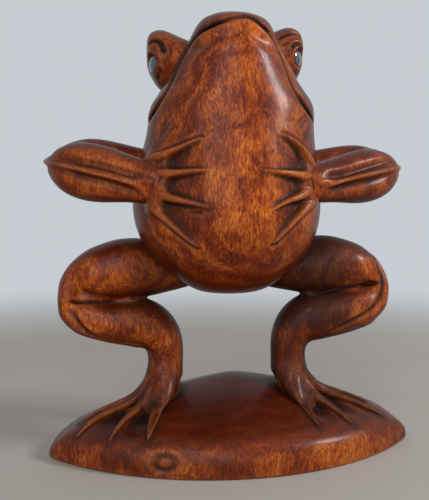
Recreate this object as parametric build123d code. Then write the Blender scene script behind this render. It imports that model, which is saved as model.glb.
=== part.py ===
from build123d import *
import math
import os

# A standing frog carved from one block of hardwood, on a domed wooden base.
# The frog faces -Y, Z is up, and the origin is the middle of the base's flat underside.
# All lengths are in millimetres. Left and right are the frog's own, so left is +X.
# Each form of the carving is one solid, and a smaller form is cut to the face of a larger one.
SIDES = {"right": -1, "left": 1}

# Base: two arcs in plan with rounded tips, rising to a mound in the middle
BASE_HALF_WIDTH = 110.0
BASE_FRONT = 60.0
BASE_BACK = 50.0
BASE_TIP_SETBACK = 8.0
BASE_TIP_RADIUS = 9.0
BASE_SHIFT = 4.0
BASE_TURN_DEGREES = 2.7
MOUND_HEIGHT = 41.5
MOUND_SHIFT = 3.0
MOUND_SETBACK = 6.0
# Height of the mound and size of its plan there
MOUND_SHARES = [
    (0.000, 1.000),
    (0.170, 0.998),
    (0.280, 0.985),
    (0.370, 0.955),
    (0.450, 0.900),
    (0.530, 0.820),
    (0.630, 0.700),
    (0.735, 0.555),
    (0.830, 0.410),
    (0.920, 0.235),
    (0.980, 0.100),
    (1.000, 0.020),
]
# Distance out along the base and height of its outline seen from the front
SLOPE_SHARES = [
    (0.000, 1.010),
    (0.240, 0.925),
    (0.500, 0.775),
    (0.780, 0.535),
    (0.880, 0.360),
    (0.945, 0.200),
    (0.985, 0.000),
]

# Body and head: one stack of level ellipses, split at the mouth
BODY_BOTTOM = 92.0
BODY_HEIGHT = 154.4
BODY_WIDTH = 106.5
BODY_DEPTH = 90.0
BODY_FORWARD = 12.0
BODY_LEAN = 3.5
# Height, half width, front, back and lean to the left, as shares of the body's own sizes
BODY_SHARES = [
    (0.000, 0.030, 0.030, 0.030, 0.00),
    (0.015, 0.180, 0.200, 0.150, 0.00),
    (0.050, 0.265, 0.300, 0.245, 0.00),
    (0.105, 0.355, 0.394, 0.345, -0.10),
    (0.190, 0.455, 0.467, 0.428, -0.25),
    (0.300, 0.500, 0.500, 0.490, -0.35),
    (0.400, 0.496, 0.500, 0.511, -0.30),
    (0.500, 0.470, 0.472, 0.511, 0.00),
    (0.600, 0.446, 0.430, 0.495, 0.40),
    (0.680, 0.430, 0.400, 0.466, 0.60),
    (0.760, 0.362, 0.372, 0.430, 0.62),
    (0.840, 0.288, 0.348, 0.385, 0.58),
    (0.910, 0.230, 0.326, 0.310, 0.54),
    (0.955, 0.194, 0.296, 0.190, 0.50),
    (0.982, 0.160, 0.250, 0.090, 0.46),
    (1.000, 0.105, 0.180, 0.000, 0.43),
]

# Mouth: a steep cut that leans forward from the corners up to the snout, and a groove along it
MOUTH_CORNER_DROP = 55.9
MOUTH_CORNER_FORWARD = 18.0
MOUTH_LEAN_DEGREES = 22.5
MOUTH_GROOVE_WIDTH = 1.8
MOUTH_GROOVE_DEPTH = 1.8
MOUTH_GROOVE_RUN = 20.0

# Eyes: bumps that grow out sideways from the skull, each with an almond of lids round an inlay
EYE_RISES = {"right": -2.0, "left": 1.5}
EYE_DROP = 18.4
EYE_SETBACK = 8.0
EYE_REACH = 45.0
EYE_ROOT = 2.0
EYE_TALL = 17.5
EYE_LONG = 17.0
# Reach outward, height and length of the bump there, and how far its middle rises
EYE_SHARES = [
    (0.00, 0.24, 0.50, -0.50),
    (0.20, 0.50, 0.80, -0.12),
    (0.46, 0.68, 0.91, 0.00),
    (0.66, 0.88, 0.97, 0.00),
    (0.82, 1.00, 1.00, 0.00),
    (0.94, 0.86, 0.85, 0.05),
    (1.00, 0.46, 0.46, 0.14),
]
INLAY_DIAMETER = 9.0
INLAY_DEPTH = 4.0
INLAY_PROUD = 1.0
INLAY_DOME_RADIUS = 8.0
INLAY_FORWARD_DEGREES = {"right": 24.0, "left": 36.0}
INLAY_INSETS = {"right": 2.5, "left": 4.1}
INLAY_AHEAD = {"right": 10.5, "left": 11.8}
INLAY_DROP = 3.6
LID_LONG = 21.0
LID_TALL = 16.5
LID_DEPTH = 1.2

# Arms: folded at a pointed elbow, the forearm in front of the upper arm
# The shoulder and the wrist lie at shares of the body's width, depth and height
ELBOW_RISES = {"right": 1.3, "left": -1.3}
ELBOW_OUT = 105.0
ELBOW_SETBACK = -4.0
ELBOW_LIFT = 11.5
SHOULDER_OUT_SHARE = 0.357
SHOULDER_SETBACK_SHARE = 0.089
SHOULDER_HEIGHT_SHARE = 0.453
UPPER_ARM_TALL = {"right": 13.3, "left": 12.7}
UPPER_ARM_THICK = {"right": 12.2, "left": 11.8}
UPPER_ARM_BOW = 1.5
UPPER_ARM_INSET = 6.0
# Along from elbow to shoulder, size of the section, and how far its middle rises
UPPER_ARM_SHARES = [
    (0.000, 0.15, 0.00),
    (0.045, 0.46, 0.10),
    (0.130, 0.74, 0.40),
    (0.270, 0.97, 0.90),
    (0.450, 0.98, 1.00),
    (0.650, 0.88, 0.70),
    (0.850, 0.80, 0.30),
    (1.000, 0.75, 0.00),
    (1.100, 0.66, -0.20),
]
WRIST_OUT_SHARE = 0.422
WRIST_SETBACK_SHARE = -0.367
WRIST_HEIGHT_SHARE = 0.402
FOREARM_TALL = {"right": 15.8, "left": 15.2}
FOREARM_THICK = {"right": 13.3, "left": 12.7}
FOREARM_BOW = -0.8
FOREARM_INSET = 5.0
# Along from elbow to wrist, size of the section, and how far its middle rises
FOREARM_SHARES = [
    (0.000, 0.15, 1.00),
    (0.045, 0.46, 1.00),
    (0.130, 0.73, 0.80),
    (0.250, 0.92, 0.90),
    (0.400, 1.00, 1.00),
    (0.580, 0.95, 0.80),
    (0.800, 0.80, 0.40),
    (1.000, 0.70, 0.00),
]
ARM_RIDGE_RADIUS = 4.2
ARM_RIDGE_PROUD = 1.4
# Along from elbow to wrist, size of the ridge, and how far forward it lies
ARM_RIDGE_SHARES = [
    (0.00, 0.22, 0.00),
    (0.03, 0.62, 0.02),
    (0.10, 0.90, 0.25),
    (0.22, 1.00, 0.70),
    (0.40, 1.00, 1.00),
    (0.62, 0.95, 0.94),
    (0.85, 0.80, 0.78),
]

# Hands: a flat palm at the wrist and four tapered fingers in relief on the belly
PALM_OUT_SHARE = 0.405
PALM_TALL_SHARE = 0.081
PALM_LONG = 6.5
PALM_DEEP = 5.5
# Up from the palm's middle to its end, and the size of its section there
PALM_SHARES = [
    (-1.00, 0.24),
    (-0.88, 0.55),
    (-0.55, 0.86),
    (0.00, 1.00),
    (0.55, 0.86),
    (0.88, 0.55),
    (1.00, 0.24),
]
FINGER_ROOT_RADIUS = 3.3
FINGER_TIP_RADIUS = 0.9
FINGER_SINK = 0.2
FINGER_SHARES = (0, 0.33, 0.67, 1)
# How far each finger starts and ends from the middle, and its height there, on the body's sizes
FINGER_ROOT_SHARES = {
    "right": [(0.376, 0.482), (0.391, 0.427), (0.399, 0.372), (0.408, 0.330)],
    "left": [(0.385, 0.472), (0.395, 0.429), (0.395, 0.382), (0.400, 0.334)],
}
FINGER_TIP_SHARES = {
    "right": [(0.214, 0.548), (0.177, 0.441), (0.168, 0.319), (0.226, 0.185)],
    "left": [(0.206, 0.566), (0.084, 0.441), (0.135, 0.311), (0.151, 0.205)],
}
HOLLOW_DEPTH = 3.0
# Along the fingers, how wide and deep the scoop between two of them is, and how far it lifts clear
HOLLOW_SHARES = [
    (0.23, 0.30, 0.40, 0.00),
    (0.28, 0.66, 0.85, 0.00),
    (0.38, 0.84, 1.10, 0.10),
    (0.55, 0.90, 1.10, 0.30),
    (0.75, 0.92, 1.10, 0.60),
    (0.93, 0.86, 1.00, 0.88),
    (1.05, 0.80, 0.90, 1.10),
]

# Legs: the thigh goes out to the knee, the shin comes back under it to the ankle
KNEE_RISES = {"right": -1.2, "left": 1.2}
KNEE_OUT = 95.8
KNEE_LIFT = 1.0
KNEE_SETBACK = -4.0
HIP_OUT_SHARE = 0.282
HIP_SETBACK_SHARE = 0.022
HIP_LIFT = 12.5
THIGH_TALL = 17.4
THIGH_THICK = 18.0
THIGH_BOW = 7.1
# Along from hip to knee, size of the section, and how far its middle rises
THIGH_SHARES = [
    (-0.190, 0.50, -0.40),
    (0.000, 0.72, 0.00),
    (0.146, 0.89, 0.38),
    (0.336, 1.00, 0.75),
    (0.500, 1.00, 0.94),
    (0.620, 0.92, 1.00),
    (0.745, 0.80, 1.00),
    (0.854, 0.55, 0.89),
    (0.930, 0.38, 0.54),
    (0.980, 0.22, 0.18),
    (1.000, 0.10, -0.07),
]
ANKLE_OUT = 36.3
ANKLE_RADIUS = 10.2
ANKLE_LIFT = 3.5
ANKLE_SETBACK = -6.0
SHIN_TOP_INSET = 1.5
SHIN_TOP_DROP = 4.5
SHIN_TALL = 15.0
SHIN_THICK = 16.0
# Out and up from the ankle to the knee, and the two sizes of the section
SHIN_SHARES = [
    (0.995, 1.000, 0.20, 0.22),
    (0.965, 0.908, 0.42, 0.50),
    (0.850, 0.862, 0.80, 0.76),
    (0.683, 0.795, 0.885, 0.92),
    (0.467, 0.739, 0.94, 1.00),
    (0.267, 0.700, 0.98, 0.98),
    (0.095, 0.575, 0.87, 0.86),
    (0.020, 0.416, 0.75, 0.73),
    (0.000, 0.260, 0.69, 0.66),
    (0.000, 0.125, 0.68, 0.64),
]
KNEE_CAP_RADIUS = 6.0
KNEE_CAP_THICK = 9.0
KNEE_CAP_AHEAD = 1.3
# Out, up and size of the rounded knee that joins thigh and shin, in shares of its radius
KNEE_CAP_SHARES = [
    (-1.45, 2.00, 0.50),
    (-0.80, 0.85, 0.85),
    (-0.70, 0.05, 1.00),
    (-0.70, -1.05, 1.00),
    (-0.95, -2.10, 0.85),
    (-1.60, -2.80, 0.50),
]

# Feet: the ankle spreads into a fan with four long toes on the mound
FAN_OUT_SHARE = 0.427
FAN_AHEAD_SHARE = 0.183
FAN_LONG = 18.0
FAN_WIDE = 12.0
FAN_TURN_DEGREES = 40.0
FAN_SINK = 2.0
TOE_ROOT_RADIUS = 3.6
TOE_TIP_RADIUS = 0.9
TOE_SINK = 0.4
TOE_SHARES = (0, 0.33, 0.67, 1)
# How far out each toe starts and ends, and how far ahead, on the base's half width and front
TOE_ROOT_SHARES = [(0.364, 0.233), (0.409, 0.233), (0.436, 0.183), (0.445, 0.100)]
TOE_TIP_SHARES = {
    "right": [(0.440, 0.758), (0.615, 0.650), (0.787, 0.433), (0.755, 0.250)],
    "left": [(0.417, 0.700), (0.616, 0.583), (0.823, 0.308), (0.791, 0.117)],
}

# Clear overrun of every cutting solid past what it cuts
OVERRUN = 60.0


def between(table, value, column):
    """One column of a table at a value of its first column, read along straight lines."""
    for low, high in zip(table, table[1:]):
        if value <= high[0]:
            break
    part = min(max((value - low[0]) / (high[0] - low[0]), 0), 1)
    return low[column] + (high[column] - low[column]) * part


def body_section(share):
    """Middle, half width and half depth of the body at a share of its height."""
    wide, front, back, lean = (between(BODY_SHARES, share, column) for column in (1, 2, 3, 4))
    x = BODY_LEAN * lean
    y = (back - front) / 2 * BODY_DEPTH - BODY_FORWARD
    return x, y, wide * BODY_WIDTH, (front + back) / 2 * BODY_DEPTH


def body_place(side, out_share, setback_share, height_share):
    """A place at shares of the body's width, depth and height, on one side."""
    x = SIDES[side] * out_share * BODY_WIDTH
    return Vector(x, setback_share * BODY_DEPTH, BODY_BOTTOM + height_share * BODY_HEIGHT)


def belly_point(side, out_share, height_share):
    """The point on the front of the body at shares of its width and height, on one side."""
    middle_x, middle_y, half_width, half_depth = body_section(height_share)
    x = SIDES[side] * out_share * BODY_WIDTH
    inside = max(1 - ((x - middle_x) / half_width) ** 2, 0)
    y = middle_y - half_depth * math.sqrt(inside)
    return Vector(x, y, BODY_BOTTOM + height_share * BODY_HEIGHT)


def arc_through(crest, tips):
    """Radius and middle of the arc over the base's width, from its crest and its two tips."""
    rise = abs(crest - tips)
    radius = (BASE_HALF_WIDTH**2 + rise**2) / (2 * rise)
    return radius, crest + math.copysign(radius, tips - crest)


def mound_point(x, y):
    """The point on the top of the base above a place in plan."""
    turn = math.radians(-BASE_TURN_DEGREES)
    across = (x - BASE_SHIFT) * math.cos(turn) - y * math.sin(turn) - MOUND_SHIFT
    along = (x - BASE_SHIFT) * math.sin(turn) + y * math.cos(turn) - MOUND_SETBACK
    reach = math.hypot(across, along)
    rims = []
    for crest in (-BASE_FRONT, BASE_BACK):
        radius, middle = arc_through(crest, -BASE_TIP_SETBACK)
        toward = (across * MOUND_SHIFT + along * (MOUND_SETBACK - middle)) / reach
        apart = MOUND_SHIFT**2 + (MOUND_SETBACK - middle) ** 2
        rims.append(math.sqrt(toward**2 - apart + radius**2) - toward)
    spread = [(wide, high) for high, wide in reversed(MOUND_SHARES)]
    mound = between(spread, reach / min(rims), 1)
    slope = between(SLOPE_SHARES, abs(x - BASE_SHIFT) / BASE_HALF_WIDTH, 1)
    return Vector(x, y, MOUND_HEIGHT * min(mound, slope))


def limb(places, radii, across):
    """A smooth limb: an ellipse square to the path at each place, with two radii each."""
    sections = []
    for index, (place, (tall, thick)) in enumerate(zip(places, radii)):
        before = places[max(index - 1, 0)]
        after = places[min(index + 1, len(places) - 1)]
        plane = Plane(origin=place, x_dir=across, z_dir=after - before)
        sections.append(plane * Ellipse(thick, tall))
    return loft(sections)


def straight_limb(start, end, shares, tall, thick, bow, across):
    """A limb along the line between two points, raised by the bow where its shares say."""
    places = []
    radii = []
    for along, size, rise in shares:
        places.append(start + (end - start) * along + Vector(0, 0, bow) * rise)
        radii.append((tall * size, thick * size))
    return limb(places, radii, across)


def base():
    """The base: a plan of two arcs that shrinks as it rises, cut to its slope at both ends."""
    left_tip = (BASE_HALF_WIDTH, -BASE_TIP_SETBACK)
    right_tip = (-BASE_HALF_WIDTH, -BASE_TIP_SETBACK)
    outline = Curve() + [
        ThreePointArc(right_tip, (0, -BASE_FRONT), left_tip),
        ThreePointArc(left_tip, (0, BASE_BACK), right_tip),
    ]
    plan = make_face(outline)
    plan = Pos(-MOUND_SHIFT, -MOUND_SETBACK) * fillet(plan.vertices(), BASE_TIP_RADIUS)
    sections = []
    for high, wide in MOUND_SHARES:
        sections.append(Pos(MOUND_SHIFT, MOUND_SETBACK, high * MOUND_HEIGHT) * scale(plan, by=wide))
    mound = Pos(BASE_SHIFT, 0) * Rot(0, 0, BASE_TURN_DEGREES) * loft(sections)
    places = [(BASE_SHIFT + out * BASE_HALF_WIDTH, high * MOUND_HEIGHT) for out, high in SLOPE_SHARES]
    mirrored = [(2 * BASE_SHIFT - x, z) for x, z in reversed(places[1:])]
    slope = Spline(mirrored + places)
    floor = Line(places[-1], mirrored[0])
    side_view = make_face(Curve() + [slope, floor])
    return mound & extrude(Plane.XZ * side_view, OVERRUN + BASE_FRONT, both=True)


def body_and_head(inset=0):
    """The whole upright body, from the belly's underside to the snout, less a skin if asked."""
    sections = []
    for row in BODY_SHARES:
        x, y, half_width, half_depth = body_section(row[0])
        place = Pos(x, y, BODY_BOTTOM + row[0] * BODY_HEIGHT)
        if half_width > inset * 2:
            sections.append(place * Ellipse(half_width - inset, half_depth - inset))
    return loft(sections)


def mouth_points():
    """Three places on the mouth's cut seen from the side: behind a corner, at it and far above it."""
    height = BODY_BOTTOM + BODY_HEIGHT - MOUTH_CORNER_DROP
    rise = BODY_HEIGHT / 2
    far_forward = MOUTH_CORNER_FORWARD + rise * math.tan(math.radians(MOUTH_LEAN_DEGREES))
    return [(BODY_DEPTH, height), (-MOUTH_CORNER_FORWARD, height), (-far_forward, height + rise)]


def skull_space():
    """All space above the level of the mouth's corners and behind the mouth's steep cut."""
    back, corner, top = mouth_points()
    profile = Polyline(back, corner, top, (BODY_DEPTH, top[1]), close=True)
    return extrude(Plane.YZ * make_face(profile), BODY_WIDTH, both=True)


def mouth_groove():
    """A thin slot along the mouth's cut that goes a little way in under the body's skin."""
    back, corner, top = mouth_points()
    path = Polyline((corner[0] + MOUTH_GROOVE_RUN, corner[1]), corner, top)
    slot = make_face(offset(path, MOUTH_GROOVE_WIDTH / 2, side=Side.BOTH))
    return extrude(Plane.YZ * slot, BODY_WIDTH, both=True) - body_and_head(MOUTH_GROOVE_DEPTH)


def eye_height(side):
    """The height of the middle of an eye bump."""
    return BODY_BOTTOM + BODY_HEIGHT - EYE_DROP + EYE_RISES[side]


def eye_bump(side, inset=0):
    """An eye bump, from inside the skull out to its blunt face, less a skin if asked."""
    sign = SIDES[side]
    sections = []
    for reach, tall, long, rise in EYE_SHARES:
        out = EYE_ROOT + (EYE_REACH - inset - EYE_ROOT) * reach
        place = Vector(sign * out, EYE_SETBACK, eye_height(side) + EYE_TALL * rise)
        plane = Plane(origin=place, x_dir=(0, 1, 0), z_dir=(sign, 0, 0))
        sections.append(plane * Ellipse(EYE_LONG * long - inset, EYE_TALL * tall - inset))
    return loft(sections)


def eye_face(side):
    """The middle of an inlay's rim and the way that it faces."""
    sign = SIDES[side]
    turn = math.radians(INLAY_FORWARD_DEGREES[side])
    facing = Vector(sign * math.cos(turn), -math.sin(turn), 0)
    out = EYE_REACH - INLAY_INSETS[side]
    return Vector(sign * out, EYE_SETBACK - INLAY_AHEAD[side], eye_height(side) - INLAY_DROP), facing


def eye(side):
    """An eye bump with an almond sunk into its face, which leaves two lids round the eyeball."""
    middle, facing = eye_face(side)
    plane = Plane(origin=middle - facing * (EYE_LONG - LID_DEPTH), x_dir=(0, 0, 1), z_dir=facing)
    half_long = LID_LONG / 2
    half_tall = LID_TALL / 2
    lids = Curve() + [
        ThreePointArc((0, -half_long), (half_tall, 0), (0, half_long)),
        ThreePointArc((0, half_long), (-half_tall, 0), (0, -half_long)),
    ]
    opening = extrude(plane * make_face(lids), EYE_LONG * 2)
    return eye_bump(side) - (opening - eye_bump(side, LID_DEPTH))


def eye_inlay(side):
    """A short round plug with a domed face, turned a little forward."""
    face, facing = eye_face(side)
    plug = Pos(0, 0, -INLAY_DEPTH) * extrude(Circle(INLAY_DIAMETER / 2), INLAY_DEPTH + INLAY_PROUD)
    crown = Pos(0, 0, INLAY_PROUD - INLAY_DOME_RADIUS) * Sphere(INLAY_DOME_RADIUS)
    return Plane(origin=face, z_dir=facing) * (plug & crown)


def wrist_place(side):
    """The middle of the wrist."""
    return body_place(side, WRIST_OUT_SHARE, WRIST_SETBACK_SHARE, WRIST_HEIGHT_SHARE)


def elbow_place(side):
    """The point of the elbow, a little above the wrist."""
    height = wrist_place(side).Z + ELBOW_LIFT + ELBOW_RISES[side]
    return Vector(SIDES[side] * ELBOW_OUT, ELBOW_SETBACK, height)


def upper_arm(side):
    """The upper arm, from just inside the elbow to its root in the body."""
    elbow = elbow_place(side) - Vector(SIDES[side] * UPPER_ARM_INSET, 0, 0)
    shoulder = body_place(side, SHOULDER_OUT_SHARE, SHOULDER_SETBACK_SHARE, SHOULDER_HEIGHT_SHARE)
    tall = UPPER_ARM_TALL[side]
    thick = UPPER_ARM_THICK[side]
    return straight_limb(elbow, shoulder, UPPER_ARM_SHARES, tall, thick, UPPER_ARM_BOW, (0, 1, 0))


def forearm(side):
    """The forearm, from the pointed elbow to the wrist, with a ridge along its front."""
    tip = elbow_place(side)
    wrist = wrist_place(side)
    along = (wrist - tip).normalized()
    tall = FOREARM_TALL[side]
    thick = FOREARM_THICK[side]
    start = tip + along * FOREARM_INSET
    flesh = straight_limb(start, wrist, FOREARM_SHARES, tall, thick, FOREARM_BOW, (0, 1, 0))
    places = []
    radii = []
    for place, size, forward in ARM_RIDGE_SHARES:
        push = (thick + ARM_RIDGE_PROUD - ARM_RIDGE_RADIUS) * forward
        places.append(tip + (wrist - tip) * place - Vector(0, push, 0))
        radii.append((ARM_RIDGE_RADIUS * size, ARM_RIDGE_RADIUS * size))
    return flesh + limb(places, radii, (0, 1, 0))


def finger_shares(side, finger, along):
    """Where a finger lies at a share of its length, as shares of the body's width and height."""
    root = FINGER_ROOT_SHARES[side][finger]
    tip = FINGER_TIP_SHARES[side][finger]
    return root[0] + (tip[0] - root[0]) * along, root[1] + (tip[1] - root[1]) * along


def finger_radius(along):
    """The radius of a finger at a share of its length."""
    return FINGER_ROOT_RADIUS + (FINGER_TIP_RADIUS - FINGER_ROOT_RADIUS) * along


def relief_finger(side, finger):
    """A tapered finger that lies half sunk along the belly."""
    places = []
    radii = []
    for along in FINGER_SHARES:
        skin = belly_point(side, *finger_shares(side, finger, along))
        places.append(skin + Vector(0, FINGER_SINK * along, 0))
        radii.append((finger_radius(along), finger_radius(along)))
    return limb(places, radii, (0, 1, 0))


def hand(side):
    """A palm pressed to the side of the belly and its four fingers."""
    middle = belly_point(side, PALM_OUT_SHARE, WRIST_HEIGHT_SHARE)
    tall = PALM_TALL_SHARE * BODY_HEIGHT
    places = [middle + Vector(0, 0, tall * up) for up, size in PALM_SHARES]
    radii = [(PALM_DEEP * size, PALM_LONG * size) for up, size in PALM_SHARES]
    solid = limb(places, radii, (1, 0, 0))
    for finger in range(len(FINGER_ROOT_SHARES[side])):
        solid += relief_finger(side, finger)
    return solid


def finger_hollow(side, finger):
    """The scoop in the belly between a finger and the next, deep at the palm and out at the tips."""
    places = []
    radii = []
    for along, fill, deep, lift in HOLLOW_SHARES:
        first = finger_shares(side, finger, along)
        second = finger_shares(side, finger + 1, along)
        middle = [(a + b) / 2 for a, b in zip(first, second)]
        apart = belly_point(side, *first) - belly_point(side, *second)
        places.append(belly_point(side, *middle) - Vector(0, HOLLOW_DEPTH * lift, 0))
        radii.append(((apart.length / 2 - finger_radius(along)) * fill, HOLLOW_DEPTH * deep))
    return limb(places, radii, (0, 1, 0))


def knee_place(side):
    """The point of the knee, at about the level of the belly's underside."""
    return Vector(SIDES[side] * KNEE_OUT, KNEE_SETBACK, BODY_BOTTOM + KNEE_LIFT + KNEE_RISES[side])


def ankle_place(side):
    """The middle of the ankle, just above the top of the mound."""
    return Vector(SIDES[side] * ANKLE_OUT, ANKLE_SETBACK, MOUND_HEIGHT + ANKLE_LIFT)


def thigh(side):
    """The thigh, from its root in the body to the knee."""
    hip = body_place(side, HIP_OUT_SHARE, HIP_SETBACK_SHARE, HIP_LIFT / BODY_HEIGHT)
    return straight_limb(hip, knee_place(side), THIGH_SHARES, THIGH_TALL, THIGH_THICK, THIGH_BOW, (0, 1, 0))


def knee_cap(side):
    """The rounded knee, which carries the outline of the thigh on into the shin."""
    places = []
    radii = []
    for out, up, size in KNEE_CAP_SHARES:
        step = Vector(SIDES[side] * KNEE_CAP_RADIUS * out, -KNEE_CAP_AHEAD, KNEE_CAP_RADIUS * up)
        places.append(knee_place(side) + step)
        radii.append((KNEE_CAP_RADIUS * size, KNEE_CAP_THICK * size))
    return limb(places, radii, (0, 1, 0))


def shin(side):
    """The shin, from the knee in under the thigh and down to the ankle."""
    ankle = ankle_place(side)
    top = knee_place(side) - Vector(SIDES[side] * SHIN_TOP_INSET, 0, SHIN_TOP_DROP)
    places = []
    radii = []
    for out, up, tall, thick in SHIN_SHARES:
        reach = (top - ankle) * out
        places.append(Vector(ankle.X + reach.X, ankle.Y + reach.Y, ankle.Z + (top.Z - ankle.Z) * up))
        radii.append((SHIN_TALL * tall, SHIN_THICK * thick))
    places.append(ankle)
    radii.append((ANKLE_RADIUS, ANKLE_RADIUS))
    return limb(places, radii, (0, 1, 0)) + knee_cap(side)


def relief_toe(side, root, tip):
    """A tapered toe that lies half sunk along the top of the base."""
    places = []
    radii = []
    for share in TOE_SHARES:
        out = root[0] + (tip[0] - root[0]) * share
        ahead = root[1] + (tip[1] - root[1]) * share
        top = mound_point(SIDES[side] * out * BASE_HALF_WIDTH, -ahead * BASE_FRONT)
        radius = TOE_ROOT_RADIUS + (TOE_TIP_RADIUS - TOE_ROOT_RADIUS) * share
        places.append(top + Vector(0, 0, radius / 2 - TOE_SINK))
        radii.append((radius, radius))
    return limb(places, radii, (0, 0, 1))


def foot(side):
    """The foot: the ankle spreads into a fan on the mound, with four toes."""
    sign = SIDES[side]
    turn = Rot(0, 0, -sign * FAN_TURN_DEGREES)
    ankle = Pos(ankle_place(side)) * turn
    ground = mound_point(sign * FAN_OUT_SHARE * BASE_HALF_WIDTH, -FAN_AHEAD_SHARE * BASE_FRONT)
    fan = Pos(ground - Vector(0, 0, FAN_SINK)) * turn
    solid = loft([ankle * Ellipse(ANKLE_RADIUS, ANKLE_RADIUS), fan * Ellipse(FAN_LONG, FAN_WIDE)])
    for root, tip in zip(TOE_ROOT_SHARES, TOE_TIP_SHARES[side]):
        solid += relief_toe(side, root, tip)
    return solid


def write(name, solid):
    """Write one form as its own file."""
    export_step(solid, os.path.join("parts", name + ".step"))


def main():
    os.makedirs("parts", exist_ok=True)
    whole_body = body_and_head()
    skull = skull_space()
    groove = mouth_groove()
    base_solid = base()
    head = (whole_body & skull) - groove
    torso = whole_body - skull - groove
    forms = {"base": base_solid}
    for side in SIDES:
        inlay = eye_inlay(side)
        upper = upper_arm(side) - whole_body
        fore = forearm(side) - whole_body - upper
        leg_top = thigh(side) - whole_body
        leg_low = shin(side) - leg_top - whole_body - base_solid
        forms[side + "_eye"] = eye(side) - whole_body - inlay
        forms[side + "_eye_inlay"] = inlay
        forms[side + "_upper_arm"] = upper
        forms[side + "_forearm"] = fore
        forms[side + "_hand"] = hand(side) - whole_body - fore
        forms[side + "_thigh"] = leg_top
        forms[side + "_shin"] = leg_low
        forms[side + "_foot"] = foot(side) - base_solid
        for finger in range(len(FINGER_ROOT_SHARES[side]) - 1):
            torso -= finger_hollow(side, finger)
        head -= inlay
    forms["torso"] = torso
    forms["head"] = head
    for name, solid in forms.items():
        write(name, solid)


main()
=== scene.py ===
import math

import bpy
import numpy as np
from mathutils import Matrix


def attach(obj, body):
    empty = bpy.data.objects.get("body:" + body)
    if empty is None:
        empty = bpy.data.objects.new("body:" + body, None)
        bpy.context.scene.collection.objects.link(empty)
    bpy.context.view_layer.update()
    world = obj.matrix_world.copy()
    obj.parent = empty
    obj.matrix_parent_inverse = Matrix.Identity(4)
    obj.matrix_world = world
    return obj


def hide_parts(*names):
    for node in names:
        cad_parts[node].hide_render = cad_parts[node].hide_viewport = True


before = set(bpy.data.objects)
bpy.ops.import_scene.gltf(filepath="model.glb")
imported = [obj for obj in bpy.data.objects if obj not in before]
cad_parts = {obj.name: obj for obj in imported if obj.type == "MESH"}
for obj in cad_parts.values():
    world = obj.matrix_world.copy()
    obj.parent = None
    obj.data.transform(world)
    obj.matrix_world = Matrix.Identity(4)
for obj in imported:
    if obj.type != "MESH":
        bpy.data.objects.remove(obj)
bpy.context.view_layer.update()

# A frog carved from one block of hardwood, with round dark inlays in its eyes.
# Shapes are worked out in millimetres in the CAD frame, and MM turns them into metres.
# Left and right are the frog's own, so left is +X, and the frog faces -Y.
MM = 0.001
SIDES = {"right": -1, "left": 1}


# Surfaces and curves

def spline(rows, count):
    """Rows read at so many even steps of their whole length, along a natural cubic spline.

    The knots are spaced by the straight distance from row to row, and the second
    derivatives solve the usual tridiagonal system with none at the two ends.
    """
    rows = np.asarray(rows, float)
    gaps = np.linalg.norm(np.diff(rows, axis=0), axis=1)
    knots = np.concatenate([[0], np.cumsum(gaps)])
    inner = np.arange(1, len(rows) - 1)
    system = np.eye(len(rows))
    system[inner, inner - 1] = gaps[:-1]
    system[inner, inner] = 2 * (gaps[:-1] + gaps[1:])
    system[inner, inner + 1] = gaps[1:]
    slopes = np.diff(rows, axis=0) / gaps[:, None]
    bend = np.zeros_like(rows)
    bend[inner] = 6 * np.diff(slopes, axis=0)
    bend = np.linalg.solve(system, bend)
    at = np.linspace(0, 1, count) * knots[-1]
    k = np.clip(np.searchsorted(knots, at, side="right") - 1, 0, len(rows) - 2)
    a = ((knots[k + 1] - at) / gaps[k])[:, None]
    b = 1 - a
    curl = ((a**3 - a) * bend[k] + (b**3 - b) * bend[k + 1]) * gaps[k][:, None] ** 2 / 6
    return a * rows[k] + b * rows[k + 1] + curl


def step(value, low=0.0, high=1.0):
    """0 below low, 1 above high, and the cubic 3t^2 - 2t^3 between them."""
    t = np.clip((value - low) / (high - low), 0, 1)
    return t * t * (3 - 2 * t)


def bell(distance, width, power=2):
    """1 at no distance, falling over the width: e to the minus (distance / width) to a power."""
    return np.exp(-((distance / width) ** power))


def circle(count):
    """Angles evenly round one turn."""
    return np.linspace(0, 2 * math.pi, count, endpoint=False)


def unit(vectors):
    """The vectors at length one."""
    return vectors / np.maximum(np.linalg.norm(vectors, axis=-1, keepdims=True), 1e-12)


def shell(grid):
    """Places and quads of a closed surface from a grid of rings, each end drawn to its middle."""
    rows, around = grid.shape[:2]
    places = np.concatenate([grid.reshape(-1, 3), grid[0].mean(0)[None], grid[-1].mean(0)[None]])
    i, j = np.meshgrid(np.arange(rows - 1), np.arange(around), indexing="ij")
    after = (j + 1) % around
    quads = np.stack([i * around + j, i * around + after, (i + 1) * around + after, (i + 1) * around + j], -1)
    ring = np.arange(around)
    turn = np.roll(ring, -1)
    last = (rows - 1) * around
    low = np.stack([turn, ring, np.full(around, rows * around)], -1)
    high = np.stack([last + ring, last + turn, np.full(around, rows * around + 1)], -1)
    quads, fans = quads.reshape(-1, 4), np.concatenate([low, high])
    corners = places[np.concatenate([quads[:, :3], quads[:, [0, 2, 3]], fans])]
    if np.einsum("ij,ij->", np.cross(corners[:, 0], corners[:, 1]), corners[:, 2]) < 0:
        quads, fans = quads[:, ::-1], fans[:, ::-1]
    return places, quads, fans


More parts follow.
